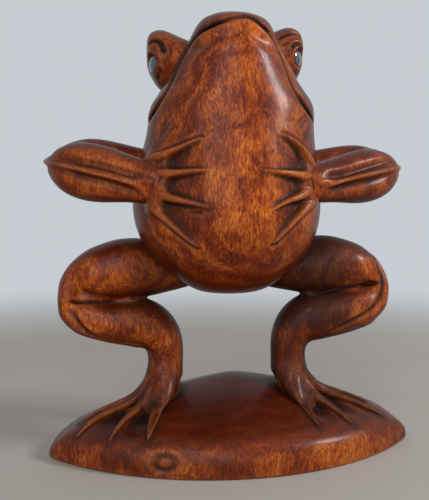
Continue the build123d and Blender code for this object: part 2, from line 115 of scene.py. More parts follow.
def tube(rows, along, around, across=(0, 1, 0)):
    """A closed tube: ellipses square to a spline through rows of x, y, z, tall and thick.

    Thick is the half axis that lies nearest to across, and tall is the one square to it.
    """
    line = spline(rows, along)
    ahead = unit(np.gradient(line[:, :3], axis=0))
    across = np.array(across, float)
    side = unit(across - (ahead @ across)[:, None] * ahead)
    above = np.cross(ahead, side)
    angle = circle(around)[None, :, None]
    round_side = (side * line[:, 4:5])[:, None] * np.cos(angle)
    round_above = (above * line[:, 3:4])[:, None] * np.sin(angle)
    return shell(line[:, None, :3] + round_side + round_above)


def placed(name, data):
    """A new object in the scene."""
    made = bpy.data.objects.new(name, data)
    bpy.context.scene.collection.objects.link(made)
    return made


def mesh_object(name, places, quads, fans=()):
    """A smooth-shaded object at the origin from places in millimetres."""
    mesh = bpy.data.meshes.new(name)
    faces = np.asarray(quads).tolist() + np.asarray(fans, int).reshape(-1, 3).tolist()
    mesh.from_pydata((np.asarray(places) * MM).tolist(), [], faces)
    mesh.shade_smooth()
    mesh.update()
    return placed(name, mesh)


def fused(shells, voxel, rounds):
    """One skin round several closed shells: the places, quads and edges of their relaxed remesh."""
    starts = np.cumsum([0] + [len(places) for places, _, _ in shells])
    rough = mesh_object(
        "rough",
        np.concatenate([places for places, _, _ in shells]),
        np.concatenate([quads + start for (_, quads, _), start in zip(shells, starts)]),
        np.concatenate([fans + start for (_, _, fans), start in zip(shells, starts)]),
    )
    remesh = rough.modifiers.new("skin", "REMESH")
    remesh.mode = "VOXEL"
    remesh.voxel_size = voxel * MM
    remesh.adaptivity = 0
    seen = rough.evaluated_get(bpy.context.evaluated_depsgraph_get())
    mesh = bpy.data.meshes.new_from_object(seen)
    co = np.zeros(len(mesh.vertices) * 3)
    mesh.vertices.foreach_get("co", co)
    corners = np.zeros(len(mesh.loops), int)
    mesh.loops.foreach_get("vertex_index", corners)
    old = rough.data
    bpy.data.objects.remove(rough)
    bpy.data.meshes.remove(old)
    bpy.data.meshes.remove(mesh)
    quads = corners.reshape(-1, 4)
    edges = edges_of(quads)
    return relaxed(co.reshape(-1, 3) / MM, edges, rounds), quads, edges


def gathered(index, values, count):
    """Values summed by the place that they belong to."""
    return np.stack([np.bincount(index, values[:, k], count) for k in range(values.shape[1])], -1)


def normals(places, quads, fans=None):
    """The unit normal at each place: the sum of the cross products of its faces' diagonals."""
    across = np.cross(places[quads[:, 2]] - places[quads[:, 0]], places[quads[:, 3]] - places[quads[:, 1]])
    total = sum(gathered(quads[:, k], across, len(places)) for k in range(4))
    if fans is not None:
        tips = np.cross(places[fans[:, 1]] - places[fans[:, 0]], places[fans[:, 2]] - places[fans[:, 0]])
        total += sum(gathered(fans[:, k], tips, len(places)) for k in range(3))
    return unit(total)


def edges_of(quads, fans=None):
    """Each pair of neighbouring places once."""
    pairs = [quads[:, [k, (k + 1) % 4]] for k in range(4)]
    if fans is not None:
        pairs += [fans[:, [k, (k + 1) % 3]] for k in range(3)]
    return np.unique(np.sort(np.concatenate(pairs), axis=1), axis=0)


def neighbour_mean(values, edges):
    """At each place, the mean of the values at its neighbours."""
    count = np.bincount(edges.ravel(), minlength=len(values))[:, None]
    total = gathered(edges[:, 0], values[edges[:, 1]], len(values))
    total += gathered(edges[:, 1], values[edges[:, 0]], len(values))
    return total / np.maximum(count, 1)


def relaxed(places, edges, rounds, weight=1.0, back=0.0):
    """Places drawn half way to their neighbours' mean, then back by a share, round by round."""
    weight = np.broadcast_to(np.asarray(weight, float).reshape(-1, 1), (len(places), 1))
    for _ in range(rounds):
        places = places + 0.5 * weight * (neighbour_mean(places, edges) - places)
        if back:
            places = places - 0.5 * back * weight * (neighbour_mean(places, edges) - places)
    return places


def along_line(places, line, reach, count=70):
    """Distance from each place to a smooth line, its share along it, and the side it lies on.

    The line is cut into short runs, and each place takes the nearest run. The side is the
    offset from the line as a vector. Places further off than reach are left at that reach.
    """
    curve = spline(line, count)
    distance = np.full(len(places), float(reach))
    share = np.zeros(len(places))
    offset = np.zeros((len(places), 3))
    near = np.all((places > curve.min(0) - reach) & (places < curve.max(0) + reach), axis=1)
    p, best, found, gap = places[near], distance[near], share[near], offset[near]
    for k, (a, b) in enumerate(zip(curve[:-1], curve[1:])):
        run = b - a
        t = np.clip((p - a) @ run / (run @ run), 0, 1)
        away = p - (a + t[:, None] * run)
        d = np.linalg.norm(away, axis=1)
        closer = d < best
        best = np.where(closer, d, best)
        found = np.where(closer, (k + t) / (count - 1), found)
        gap = np.where(closer[:, None], away, gap)
    distance[near], share[near], offset[near] = best, found, gap
    return distance, share, offset


def groove(places, line, width, depth, fade):
    """How far a groove along a line sinks each place: a bell of that width, thinner at its ends."""
    distance, share, _ = along_line(places, line, width * 3.2)
    ends = step(share, 0, fade[0]) * step(1 - share, 0, fade[1])
    return -depth * (bell(distance, width) * (distance < width * 3.1)) * ends


def laid_on_front(places, line):
    """A line's places moved forward or back to the mean depth of the front surface round each."""
    points = spline(line, 30)
    gap = np.hypot(places[None, :, 0] - points[:, None, 0], places[None, :, 2] - points[:, None, 2])
    near = (gap < 1.2) & (places[None, :, 1] < -1)
    count = near.sum(axis=1)
    depth = (near * places[None, :, 1]).sum(axis=1) / np.maximum(count, 1)
    points[:, 1] = np.where(count > 0, depth, points[:, 1])
    return points


# The body's stack

BODY_BOTTOM = 92.0
BODY_HEIGHT = 154.4
BODY_WIDTH = 106.5
BODY_DEPTH = 90.0
BODY_FORWARD = 12.0
BODY_LEAN = 3.5
# Height, half width, front, back and lean to the left, as shares of the body's sizes
BODY_SHARES = np.array([
    (0, 0.03, 0.03, 0.03, 0), (0.015, 0.18, 0.2, 0.15, 0), (0.05, 0.265, 0.3, 0.245, 0),
    (0.105, 0.355, 0.394, 0.345, -0.1), (0.19, 0.455, 0.467, 0.428, -0.25), (0.3, 0.5, 0.5, 0.49, -0.35),
    (0.4, 0.496, 0.5, 0.511, -0.3), (0.5, 0.47, 0.472, 0.511, 0), (0.6, 0.446, 0.43, 0.495, 0.4),
    (0.68, 0.43, 0.4, 0.466, 0.6), (0.76, 0.362, 0.372, 0.43, 0.62), (0.84, 0.288, 0.348, 0.385, 0.58),
    (0.91, 0.23, 0.326, 0.31, 0.54), (0.955, 0.194, 0.296, 0.19, 0.5), (0.982, 0.16, 0.25, 0.09, 0.46),
    (1, 0.105, 0.18, 0, 0.43),
])


def body_stack():
    """Dense rows of height, middle x, middle y, half width and half depth up the body."""
    z = BODY_BOTTOM + BODY_SHARES[:, 0] * BODY_HEIGHT
    rows = np.column_stack([z, BODY_SHARES[:, 1:] * [BODY_WIDTH, BODY_DEPTH, BODY_DEPTH, BODY_LEAN]])
    z, wide, front, back, lean = spline(rows, 400).T
    return np.stack([z, lean, (back - front) / 2 - BODY_FORWARD, wide, (front + back) / 2], -1)


STACK = body_stack()


def section(z):
    """Middle x, middle y, half width and half depth of the body at a height."""
    return [np.interp(z, STACK[:, 0], STACK[:, k]) for k in (1, 2, 3, 4)]


def belly(x, z):
    """The places on the body's front at x and height."""
    x, z = np.asarray(x, float), np.asarray(z, float)
    middle_x, middle_y, wide, deep = section(z)
    y = middle_y - deep * np.sqrt(np.maximum(1 - ((x - middle_x) / wide) ** 2, 0))
    return np.stack([x, y, z], -1)


def stack_grid(rows, around, crowd, low=0.0, high=1.0):
    """The body's surface: a level ellipse at each height, with its places crowded to the front.

    The angle from the front is t - crowd * sin t for t round the whole turn.
    """
    lengths = np.concatenate([[0], np.cumsum(np.linalg.norm(np.diff(STACK, axis=0), axis=1))])
    at = np.linspace(low, high, rows) * lengths[-1]
    z, middle_x, middle_y, wide, deep = (np.interp(at, lengths, STACK[:, k])[:, None] for k in range(5))
    t = np.linspace(-math.pi, math.pi, around, endpoint=False)[None, :]
    angle = t - crowd * np.sin(t)
    x = middle_x + wide * np.sin(angle)
    y = middle_y - deep * np.cos(angle)
    return np.stack([x, y, np.broadcast_to(z, x.shape)], -1)


# The mouth

MOUTH_DEPTH = 3.6
MOUTH_WIDTH = 1.35
LIP_ROLL = 0.75
# The hollow under the lower lip: its depth all along, and how much deeper under the chin
JAW_HOLLOW = 0.35
CHIN_HOLLOW = 0.75
# The mouth line from the right corner over the snout to the left corner
MOUTH_LINE = np.array([
    (-48.5, 6, 185.5), (-47.3, -5, 187.5), (-45.3, -13.5, 190), (-42.7, -20, 193), (-39.6, -23.6, 197.4),
    (-35.4, -25, 204), (-31.2, -22.2, 213.5), (-27.4, -20.2, 221.5), (-23, -22, 229), (-18.2, -27, 234.3),
    (-11.9, -33.6, 237), (-4.9, -37.2, 239.4), (1.5, -37.4, 241.2), (7, -36.6, 241.4), (12, -35.8, 238.8),
    (19.8, -32.2, 232.7), (25.9, -30.2, 222.6), (29.6, -34, 209.4), (35.8, -34.2, 198.4),
    (41.4, -28.5, 192.2), (45.6, -19.5, 188), (48.2, -8, 185.5), (49.5, 4, 184),
])


def lips(places):
    """The mouth groove, the roll of the lower lip inside it and the shallow hollow under that."""
    distance, share, offset = along_line(places, MOUTH_LINE, 22, 120)
    corner = step(share, 0.0, 0.1) * step(1 - share, 0.0, 0.08)
    inward = unit(np.array([3.0, -10.0, 200.0]) - places)
    below = step(np.einsum("ij,ij->i", offset, inward) / np.maximum(distance, 0.3), -0.1, 0.3)
    cut = -MOUTH_DEPTH * bell(distance, MOUTH_WIDTH, 4) * (0.15 + 0.85 * corner)
    roll = LIP_ROLL * bell(distance - 3.6, 1.7) * below * corner
    chin = bell(share - 0.5, 0.28)
    hollow = -(JAW_HOLLOW + CHIN_HOLLOW * chin) * bell(distance - 9.0, 3.2) * below * corner
    return cut + roll + hollow, cut


# The hands

# Each finger's line from tip to root as x and height on the belly, thumb side first
FINGERS = {
    "right": [
        [(-20.3, 176.8), (-29.7, 172.5), (-36.2, 169.7), (-46.4, 165.9)],
        [(-16.6, 160.3), (-27.1, 159.5), (-34.7, 158.9), (-44.5, 158.4)],
        [(-16.8, 141.4), (-26.1, 143.8), (-34.8, 145.9), (-43, 149.2)],
        [(-22, 120.9), (-30.1, 127.6), (-38.4, 135.5), (-45.3, 142)],
    ],
    "left": [
        [(24.3, 179), (32.5, 174.8), (38.4, 169.3), (41.8, 164.8), (44, 160.6)],
        [(11.2, 160.2), (23.6, 159.2), (31.8, 158.4), (42, 157.2)],
        [(17.1, 140.3), (25.4, 144.4), (33, 147), (41.5, 151.6)],
        [(18.1, 122.7), (25.9, 130.4), (34.2, 138.1), (43.6, 145.8)],
    ],
}
# Half width and height of a finger: at its tip, how much more at its root, and the power between
FINGER_HALF = (0.55, 2.35, 0.85)
FINGER_CREST = (0.75, 1.55, 0.7)
PALM_RISE = 2.2
PALM_REACH = 9.0
HOLLOW_DEPTH = 3.4
# How far out each hollow between two fingers starts and ends
HOLLOW_STARTS = {"right": (36.9, 37.2, 39.4), "left": (37.0, 34.4, 35.4)}
HOLLOW_ENDS = {"right": (19.0, 17.5, 20.0), "left": (19.0, 15.0, 18.0)}


def hand_relief(places, side):
    """The relief of a hand: tapered fingers and a palm stand up, and hollows sink between them.

    A finger is a rounded ridge round its line. A hollow starts as a half round at the palm,
    is deepest there and runs out at the finger tips, with steep walls along the fingers.
    """
    sign = SIDES[side]
    out = sign * places[:, 0]
    front = (places[:, 1] < -8) & (out > 5) & (np.abs(places[:, 2] - 150) < 40)
    index = np.flatnonzero(front)
    p, o = places[index], out[index]
    ridges, edges, heights = [], [], []
    for line in FINGERS[side]:
        line = np.array(line)
        curve = belly(line[:, 0], line[:, 1])
        distance, share, _ = along_line(p, curve, 26, 50)
        half, crest = (tip + more * share**power for tip, more, power in (FINGER_HALF, FINGER_CREST))
        ridges.append(crest * np.clip(1 - (distance / (half * 1.2)) ** 2, 0, 1) ** 0.8)
        edges.append(distance - half)
        order = np.argsort(sign * line[:, 0])
        heights.append(np.interp(o, sign * line[order, 0], line[order, 1]))
    ridge = np.max(ridges, axis=0)
    roots = np.array([line[-1] for line in FINGERS[side]])
    palm_line = belly(roots[:, 0] - sign * 0.8, roots[:, 1])
    palm_distance, _, _ = along_line(p, palm_line, 16, 40)
    palm = PALM_RISE * step(1 - palm_distance / PALM_REACH)
    sunk = np.zeros(len(p))
    rim = np.zeros(len(p))
    for k in range(3):
        start, end = HOLLOW_STARTS[side][k], HOLLOW_ENDS[side][k]
        middle = (heights[k] + heights[k + 1]) / 2
        gap = np.maximum((heights[k] - heights[k + 1]) / 2 - 2.2, 1.5)
        bow = 1 - np.sqrt(np.clip(1 - ((p[:, 2] - middle) / gap) ** 2, 0, 1))
        back = start - o - 2.6 * bow
        between = step(heights[k] - p[:, 2], 0, 0.6) * step(p[:, 2] - heights[k + 1], 0, 0.6)
        wall = step(np.minimum(edges[k], edges[k + 1]), -0.45, 1.0)
        run = np.clip((start - o) / (start - end), 0, 1)
        depth = HOLLOW_DEPTH * step(back, -1.6, 1.2) * (1 - run) ** 0.85
        sunk = np.maximum(sunk, depth * wall * between)
        rim = np.maximum(rim, bell(np.maximum(back, 0), 2.6) * step(back, -2.2, -0.8) * between * wall)
    outer = np.zeros(len(p))
    for k, way in ((0, 1), (3, -1)):
        beyond = step(way * (p[:, 2] - heights[k]), 0, 1.0)
        outer = outer - 0.8 * bell(edges[k] - 0.8, 0.9) * beyond * step(-o, -43, -38)
    rise = np.maximum(ridge, palm * step(o, 30, 36))
    inside = step(sunk, 0.0, 1.2)
    total = np.zeros(len(places))
    total[index] = rise * (1 - inside) - sunk + outer
    # The second result is painted shade with dark stain: darker in the hollows, at their round ends, along
    # the finger walls beside them and next to the outer fingers.
    low = np.zeros(len(places))
    edge = bell(np.min(np.abs(edges), axis=0), 0.8) * step(sunk, 0.1, 0.8)
    low[index] = np.clip(0.45 * sunk / 2.2 + 0.9 * rim + 0.7 * edge, 0, 1) + np.clip(-outer, 0, 1)
    return total, low


# The pieces

# Shallow grooves on the body: x and heights on its front, width and depth
BODY_LINES = [
    ((-40.0, -36.5), (186.5, 181.0), 5.5, 1.0),
    ((35.0, 38.0), (190.0, 184.0), 5.0, 1.0),
    ((-27.6, -23.0, -18.4), (138.6, 138.5, 138.8), 0.9, 0.8),
]


def finish_piece(piece, nodes):
    """The piece rides on the one body and stands for its nodes, which are hidden."""
    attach(piece, "root")
    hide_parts(*nodes)
    return piece


def shade_marks(piece, places, edges, shade_and_stain):
    """Four attributes: a darkening of hollows, part dark stain and part painted shade; worn, on proud edges;
    flat, on level faces; and painted light, lighter on faces turned to the front and back.

    The first two come from how far a place lies below or above the mean of its wide
    neighbourhood, and the others from the height and depth of its normal.
    """
    mesh = piece.data
    normal = np.zeros(len(places) * 3)
    mesh.vertices.foreach_get("normal", normal)
    normal = normal.reshape(-1, 3)
    dark = np.clip(shade_and_stain, 0, 1)
    worn = np.zeros(len(places))
    # Places below the mean of their neighbourhood are darkened as painted shade, on top of the dark stain
    # passed in; places above it are marked worn.
    for rounds, scale in ((3, 0.1), (14, 0.45)):
        proud = np.einsum("ij,ij->i", places - relaxed(places, edges, rounds), normal)
        dark = np.maximum(dark, np.clip(-proud / scale, 0, 1) ** 1.2)
        worn = np.maximum(worn, np.clip(proud / scale, 0, 1))
    dark = relaxed(dark[:, None], edges, 2)[:, 0]
    worn = relaxed(worn[:, None], edges, 3)[:, 0]
    flat = step(np.abs(normal[:, 2]), 0.45, 0.95)
    # Painted light: faces turned to the front or back are lighter, and up-facing and side faces darker, as a
    # lamp in front would light them.
    painted_front_light = step(np.abs(normal[:, 1]), 0.3, 0.95) * (1 - 0.5 * np.clip(normal[:, 2], 0, 1))
    for name, values in (("shade_and_stain", dark), ("worn", worn), ("flat", flat), ("painted_front_light", painted_front_light)):
        layer = mesh.attributes.new(name, "FLOAT", "POINT")
        layer.data.foreach_set("value", values.astype(np.float32))


def wooden(name, nodes, places, quads, edges, shade_and_stain, fans=()):
    """A piece of the carved block with its marks."""
    piece = mesh_object(name, places, quads, fans)
    shade_marks(piece, places, edges, shade_and_stain)
    return finish_piece(piece, nodes)


def make_body():
    """Torso, throat and lower jaw: the stack with the lips and both hands worked into it."""
    places, quads, fans = shell(stack_grid(312, 308, 0.42))
    edges = edges_of(quads, fans)
    normal = normals(places, quads, fans)
    shift, cut = lips(places)
    # The mouth groove and the hand hollows are darkened: dark stain with painted shade.
    shade_and_stain = np.clip(-cut / 0.6, 0, 1)
    for side in SIDES:
        relief, low = hand_relief(places, side)
        shift = shift + relief
        shade_and_stain = np.maximum(shade_and_stain, low * 0.8)
    for x, z, width, depth in BODY_LINES:
        shift = shift + groove(places, belly(x, z), width, depth, (0.3, 0.3))
    places = places + normal * shift[:, None]
    places = relaxed(places, edges, 1, 0.4)
    return wooden("body", ["torso", "right_hand", "left_hand"], places, quads, edges, shade_and_stain, fans)


# The head

EYE_RISES = {"right": -2.0, "left": 1.5}
EYE_HEIGHT = 228.0
EYE_SETBACK = 8.0
EYE_REACH = 45.6
EYE_ROOT = 2.0
EYE_TALL = 17.5
EYE_LONG = 17.0
# Reach outward, half height, half length and rise, as shares of the bump's sizes
EYE_SHARES = [
    (0, 0.24, 0.5, -0.5), (0.2, 0.5, 0.8, -0.12), (0.46, 0.68, 0.91, 0), (0.66, 0.88, 0.97, 0),
    (0.82, 1, 1, 0), (0.94, 0.86, 0.85, 0.05), (1, 0.46, 0.46, 0.14),
]
# Each disc: how far it turns forward, and how far it sits in from the bump's tip, and ahead of
# and below the bump's middle
DISC_TURNS = {"right": 24.0, "left": 36.0}
DISC_INSETS = {"right": 2.6, "left": 3.4}
DISC_AHEAD = {"right": 10.5, "left": 11.8}
DISC_DROPS = {"right": 3.6, "left": 2.1}
DISC_RADIUS = 4.5
# The straight wall behind a disc's rim, the radius of its dome and how far that is sunk
DISC_WALL = (-4.0, -0.5)
DISC_DOME = 8.0
DISC_SUNK = 7.0
# Grooves round each eye, for brow, lids and tear corner: line, width and depth
EYE_LINES = {
    "right": [
        ([(-44.6, -1.2, 231.4), (-43.6, -2.7, 234.4), (-41.8, -4.6, 235), (-39.5, -6.4, 234.1),
          (-37.7, -7.7, 231.9), (-36.4, -8.7, 229), (-34.1, -8.6, 227.9)], 1.35, 2),
        ([(-43.9, -0.1, 227.8), (-43.2, -2.1, 229.5), (-41.8, -4.4, 229.7), (-40.4, -5.7, 228.4),
          (-39.8, -6.3, 225.7), (-38.9, -6.6, 222.9)], 1.1, 1.6),
        ([(-38.9, -6.6, 222.9), (-37.7, -6.8, 221.8), (-36.3, -7.3, 222.1), (-34.8, -7.5, 222.3)], 0.9, 1.2),
        ([(-38.7, -6.3, 221.4), (-38.2, -5.7, 219.2), (-38.5, -4.3, 217), (-39.3, -1.9, 215.1),
          (-40.2, -1.2, 212.7)], 0.9, 1.1),
    ],
    "left": [
        ([(28.7, -5.8, 237.2), (32.3, -5.1, 239.3), (36.3, -4.8, 240.7), (39.9, -3.9, 241.1),
          (42.5, -2.5, 240.4), (43.7, -2.3, 238.4)], 1.1, 1.6),
        ([(35.9, -7.7, 227.9), (36.3, -7.6, 230.8), (37.4, -8.6, 232.9), (39, -7.9, 234.3),
          (40.7, -7.1, 234.7), (42.5, -5.1, 234.1), (44.2, -1.2, 233.4)], 1, 1.5),
        ([(31.2, -8.1, 233.1), (33.6, -7.8, 234.8), (35.9, -7.9, 235.2)], 0.8, 0.8),
        ([(32.6, -7.7, 227.2), (34.2, -7.6, 227.2), (36.5, -7.4, 226.7)], 0.9, 1.3),
        ([(37, -7.3, 226.6), (37.8, -6.6, 223.9), (39.2, -4.4, 221.4), (42.2, 2.5, 219.4)], 0.9, 1),
    ],
}
# How far the bump is cut in under each eye
CHEEK_CUTS = {"right": 2.9, "left": 1.2}
NOSTRILS = [(-13.2, -27.6, 242.8), (15.8, -30.0, 241.8)]
NOSTRIL_SIZE = (1.6, 1.6, 1.0)
NOSTRIL_DEPTH = 1.2
HEAD_VOXEL = 0.6


def eye_shell(side):
    """The eye bump: upright ellipses from deep inside the skull to its blunt face."""
    rows = []
    for reach, tall, long, rise in EYE_SHARES:
        out = EYE_ROOT + (EYE_REACH - EYE_ROOT) * reach
        rows.append((out, EYE_TALL * rise, EYE_TALL * tall, EYE_LONG * long))
    out, rise, tall, long = spline(rows, 70).T[:, :, None]
    angle = circle(90)[None]
    y = EYE_SETBACK + long * np.cos(angle)
    z = EYE_HEIGHT + EYE_RISES[side] + rise + tall * np.sin(angle)
    return shell(np.stack([np.broadcast_to(SIDES[side] * out, y.shape), y, z], -1))


def disc_frame(side):
    """The middle of a disc's face, the way it faces, and the level way across it."""
    sign = SIDES[side]
    turn = math.radians(DISC_TURNS[side])
    facing = np.array([sign * math.cos(turn), -math.sin(turn), 0.0])
    across = np.array([sign * math.sin(turn), math.cos(turn), 0.0])
    out = EYE_REACH - DISC_INSETS[side]
    height = EYE_HEIGHT + EYE_RISES[side] - DISC_DROPS[side]
    return np.array([sign * out, EYE_SETBACK - DISC_AHEAD[side], height]), facing, across


def clear_disc(places, side):
    """The wood round a disc, laid back to just behind the disc's face."""
    middle, facing, _ = disc_frame(side)
    gap = places - middle
    along = gap @ facing
    radial = np.linalg.norm(gap - along[:, None] * facing, axis=1)
    weight = step(-radial, -6.8, -4.9) * (np.abs(along) < 9)
    return places + facing * ((np.minimum(along, -0.8) - along) * weight)[:, None]


def skull_shell():
    """The stack above the mouth: places in front of the mouth's sheet are laid on that sheet.

    The sheet runs straight across from the right half of the mouth line to the left half.
    """
    grid = stack_grid(170, 220, 0.0, 0.58, 1.0)
    z = grid[..., 2]
    curve = spline(MOUTH_LINE, 200)
    top = int(np.argmax(curve[:, 2]))
    right, left = curve[:top + 1], curve[top:][::-1]
    y_right = np.interp(z, right[:, 2], right[:, 1])
    y_left = np.interp(z, left[:, 2], left[:, 1])
    across = np.clip((grid[..., 0] + 36) / 72, 0, 1)
    sheet = y_right + (y_left - y_right) * across + 1.2
    middle_x, middle_y, wide, deep = section(z)
    proud = 0.9 * step(z, 188, 200)
    x = middle_x + (grid[..., 0] - middle_x) * (1 + proud / wide)
    y = middle_y + (grid[..., 1] - middle_y) * (1 + proud / deep)
    low = step(z, 178, 190)
    y = np.where(y < sheet, sheet * low + np.maximum(y, sheet) * (1 - low), y)
    return shell(np.stack([x, y, z - 0.4], -1))


def make_head():
    """Skull, upper jaw and both eye bumps in one skin, with lids, brows and nostrils."""
    shells = [skull_shell()] + [eye_shell(side) for side in SIDES]
    places, quads, edges = fused(shells, HEAD_VOXEL, 3)
    normal = normals(places, quads)
    shift = np.zeros(len(places))
    # Lid and brow grooves, nostrils and the mouth line are darkened: dark stain with painted shade.
    shade_and_stain = np.zeros(len(places))
    for side, sign in SIDES.items():
        cheek = bell(places[:, 2] - 212, 8) * step(sign * places[:, 0], 32, 42)
        places[:, 0] -= sign * (CHEEK_CUTS[side] * cheek)
        for line, width, depth in EYE_LINES[side]:
            cut = groove(places, line, width, depth, (0.15, 0.15))
            shift = shift + cut
            shade_and_stain = np.maximum(shade_and_stain, np.clip(-cut / 0.7, 0, 1))
    for spot in NOSTRILS:
        distance = np.linalg.norm((places - spot) / NOSTRIL_SIZE, axis=1)
        shift = shift - NOSTRIL_DEPTH * bell(distance, 1)
        shade_and_stain = np.maximum(shade_and_stain, bell(distance, 1))
    distance, _, _ = along_line(places, MOUTH_LINE, 6, 120)
    shade_and_stain = np.maximum(shade_and_stain, bell(distance, 2.3, 4))
    places = places + normal * shift[:, None]
    places = relaxed(places, edges, 1)
    for side in SIDES:
        places = clear_disc(places, side)
    return wooden("head", ["head", "right_eye", "left_eye"], places, quads, edges, shade_and_stain)


def make_inlay(side):
    """A domed round disc: circles of places on a sphere's cap, and a straight wall under it."""
    face, facing, across = disc_frame(side)
    radius = np.concatenate([np.full(4, DISC_RADIUS), DISC_RADIUS * np.cos(np.linspace(0.05, 1.53, 14))])
    level = np.concatenate([np.linspace(*DISC_WALL, 4), np.sqrt(DISC_DOME**2 - radius[4:] ** 2) - DISC_SUNK])
    angle = circle(64)
    ring = across * np.cos(angle)[:, None] + np.array([0, 0, 1.0]) * np.sin(angle)[:, None]
    grid = face + facing * level[:, None, None] + ring[None] * radius[:, None, None]
    piece = mesh_object(side + "_eye_disc", *shell(grid))
    return finish_piece(piece, [side + "_eye_inlay"])


# The arms

ARM_GIRTHS = {"right": 1.02, "left": 0.98}
ELBOW_RISES = {"right": 1.3, "left": -1.3}
ELBOW = (105.0, -4.0, 165.5)
SHOULDER = (33.0, 8.0, 162.0)
WRIST = (44.94, -33.03, 154.07)
UPPER_ARM_TALL, UPPER_ARM_THICK, UPPER_ARM_BOW = 13, 12, 1.5
FOREARM_TALL, FOREARM_THICK, FOREARM_BOW = 15.5, 13, -0.8
ARM_RIDGE_RADIUS = 4.2
ARM_VOXEL = 0.55
# Along from the elbow, size of the section, and how far its middle rises as a share of the bow
UPPER_ARM_SHARES = [
    (0, 0.15, 0), (0.045, 0.46, 0.1), (0.13, 0.74, 0.4), (0.27, 0.97, 0.9), (0.45, 0.98, 1),
    (0.65, 0.88, 0.7), (0.85, 0.8, 0.3), (1, 0.75, 0),
]
FOREARM_SHARES = [
    (0, 0.15, 1), (0.045, 0.46, 1), (0.13, 0.73, 0.8), (0.25, 0.92, 0.9), (0.4, 1, 1), (0.58, 0.95, 0.8),
    (0.8, 0.8, 0.4), (1, 0.7, 0), (1.12, 0.6, -0.2),
]
# The ridge on the forearm: along from the elbow, size, and how far forward it lies
ARM_RIDGE_SHARES = [
    (0.012, 0.1, 0), (0.04, 0.35, 0.04), (0.1, 0.72, 0.26), (0.22, 0.95, 0.7), (0.4, 1, 1),
    (0.62, 0.95, 0.94), (0.85, 0.8, 0.78), (1.02, 0.7, 0.7),
]
# The pointed elbow: how far in from its tip, and the two sizes of the section there
ELBOW_CONE = [
    (0.5, 0.5, 0.5), (2.5, 2.2, 2), (5, 4.2, 3.7), (9, 7.9, 6.3), (15.6, 12.4, 8.6), (24, 13.6, 9.4),
]
# Lines on the forearm: its crest, and the grooves over and under the crest
ARM_LINES = {
    "right": {
        "crest": [(-104.5, -6, 166.5), (-97, -18, 164.5), (-77.6, -32.2, 159.7), (-62.1, -37.6, 155.4),
                  (-46, -39, 151.8)],
        "over": [(-98, -14, 168.6), (-93.9, -19, 168.6), (-82.7, -28.3, 165.6), (-71.3, -32.7, 163),
                 (-59.2, -37.8, 159.4), (-48, -41, 155.6)],
        "under": [(-97.5, -15.5, 162), (-93.8, -22, 161.7), (-77.7, -31.3, 156.2), (-65, -35.2, 152.8),
                  (-49, -39, 147.6)],
    },
    "left": {
        "crest": [(104.5, -6, 164), (100.1, -13.9, 163.9), (82.9, -29.2, 160.6), (66.3, -36.4, 157.2),
                  (54.1, -39.1, 154), (46.6, -38, 152.4)],
        "over": [(96, -16, 167.6), (87.9, -23.3, 166.2), (69.9, -33.4, 161.9), (57.2, -38, 158.6),
                 (46.5, -39.5, 157)],
        "under": [(97, -17.5, 160.6), (94.3, -21.1, 160.2), (79.9, -29.7, 155.9), (60.6, -36.3, 152),
                  (47.5, -39.2, 149.6)],
    },
}


def limb_rows(start, end, shares, tall, thick, bow):
    """Rows of a limb along the line between two points, raised by the bow where its shares say."""
    start, end = np.array(start), np.array(end)
    rows = []
    for along, size, rise in shares:
        place = start + (end - start) * along + np.array([0, 0, bow * rise])
        rows.append((*place, tall * size, thick * size))
    return rows


def make_arm(side):
    """A folded arm: upper arm behind, forearm in front with a crest between two grooves."""
    sign, girth = SIDES[side], ARM_GIRTHS[side]
    flip = np.array([sign, 1, 1])
    tip = np.array(ELBOW) * flip + np.array([0, 0, ELBOW_RISES[side]])
    wrist = np.array(WRIST) * flip
    shoulder = np.array(SHOULDER) * flip
    ahead = unit(wrist - tip)
    inset = tip - np.array([sign * 6.0, 0, 0])
    shells = [
        tube(limb_rows(inset, shoulder, UPPER_ARM_SHARES,
                       UPPER_ARM_TALL * girth, UPPER_ARM_THICK * girth, UPPER_ARM_BOW), 90, 90),
        tube(limb_rows(tip + ahead * 5.0, wrist, FOREARM_SHARES,
                       FOREARM_TALL * girth, FOREARM_THICK * girth, FOREARM_BOW), 110, 110),
    ]
    toward = unit((wrist + shoulder) / 2 - tip)
    cone = [(*(tip + toward * away), girth * tall, girth * thick) for away, tall, thick in ELBOW_CONE]
    shells.append(tube(cone, 60, 70))
    rows = []
    for along, size, forward in ARM_RIDGE_SHARES:
        push = (FOREARM_THICK * girth + 1.4 - ARM_RIDGE_RADIUS) * forward
        place = tip + (wrist - tip) * along - np.array([0, push, 0])
        rows.append((*place, ARM_RIDGE_RADIUS * size, ARM_RIDGE_RADIUS * size))
    shells.append(tube(rows, 80, 40))
    places, quads, edges = fused(shells, ARM_VOXEL, 4)
    normal = normals(places, quads)
    lines = ARM_LINES[side]
    shift = groove(places, lines["over"], 2.5, 2.2, (0.35, 0.14))
    shift = shift + groove(places, lines["under"], 2.0, 1.8, (0.35, 0.14))
    shift = shift - groove(places, lines["crest"], 1.3, 1.3, (0.1, 0.02))
    places = places + normal * shift[:, None]
    places = relaxed(places, edges, 2)
    # The grooves are darkened: dark stain with painted shade.
    shade_and_stain = np.clip(-shift / 2.4, 0, 0.6)
    return wooden(side + "_arm", [side + "_upper_arm", side + "_forearm"], places, quads, edges, shade_and_stain)


# The base

BASE_HALF_WIDTH = 110.0
BASE_FRONT = 60.0
BASE_BACK = 50.0
BASE_TIP_SETBACK = 8.0
BASE_SHIFT = 4.0
BASE_TURN_DEGREES = 2.7
MOUND_HEIGHT = 41.5
MOUND_SHIFT = 3.0
MOUND_SETBACK = 6.0
RIM_SOFT = 3.8
SLOPE_SOFT = 1.2
PLAN_SPAN = 62.0
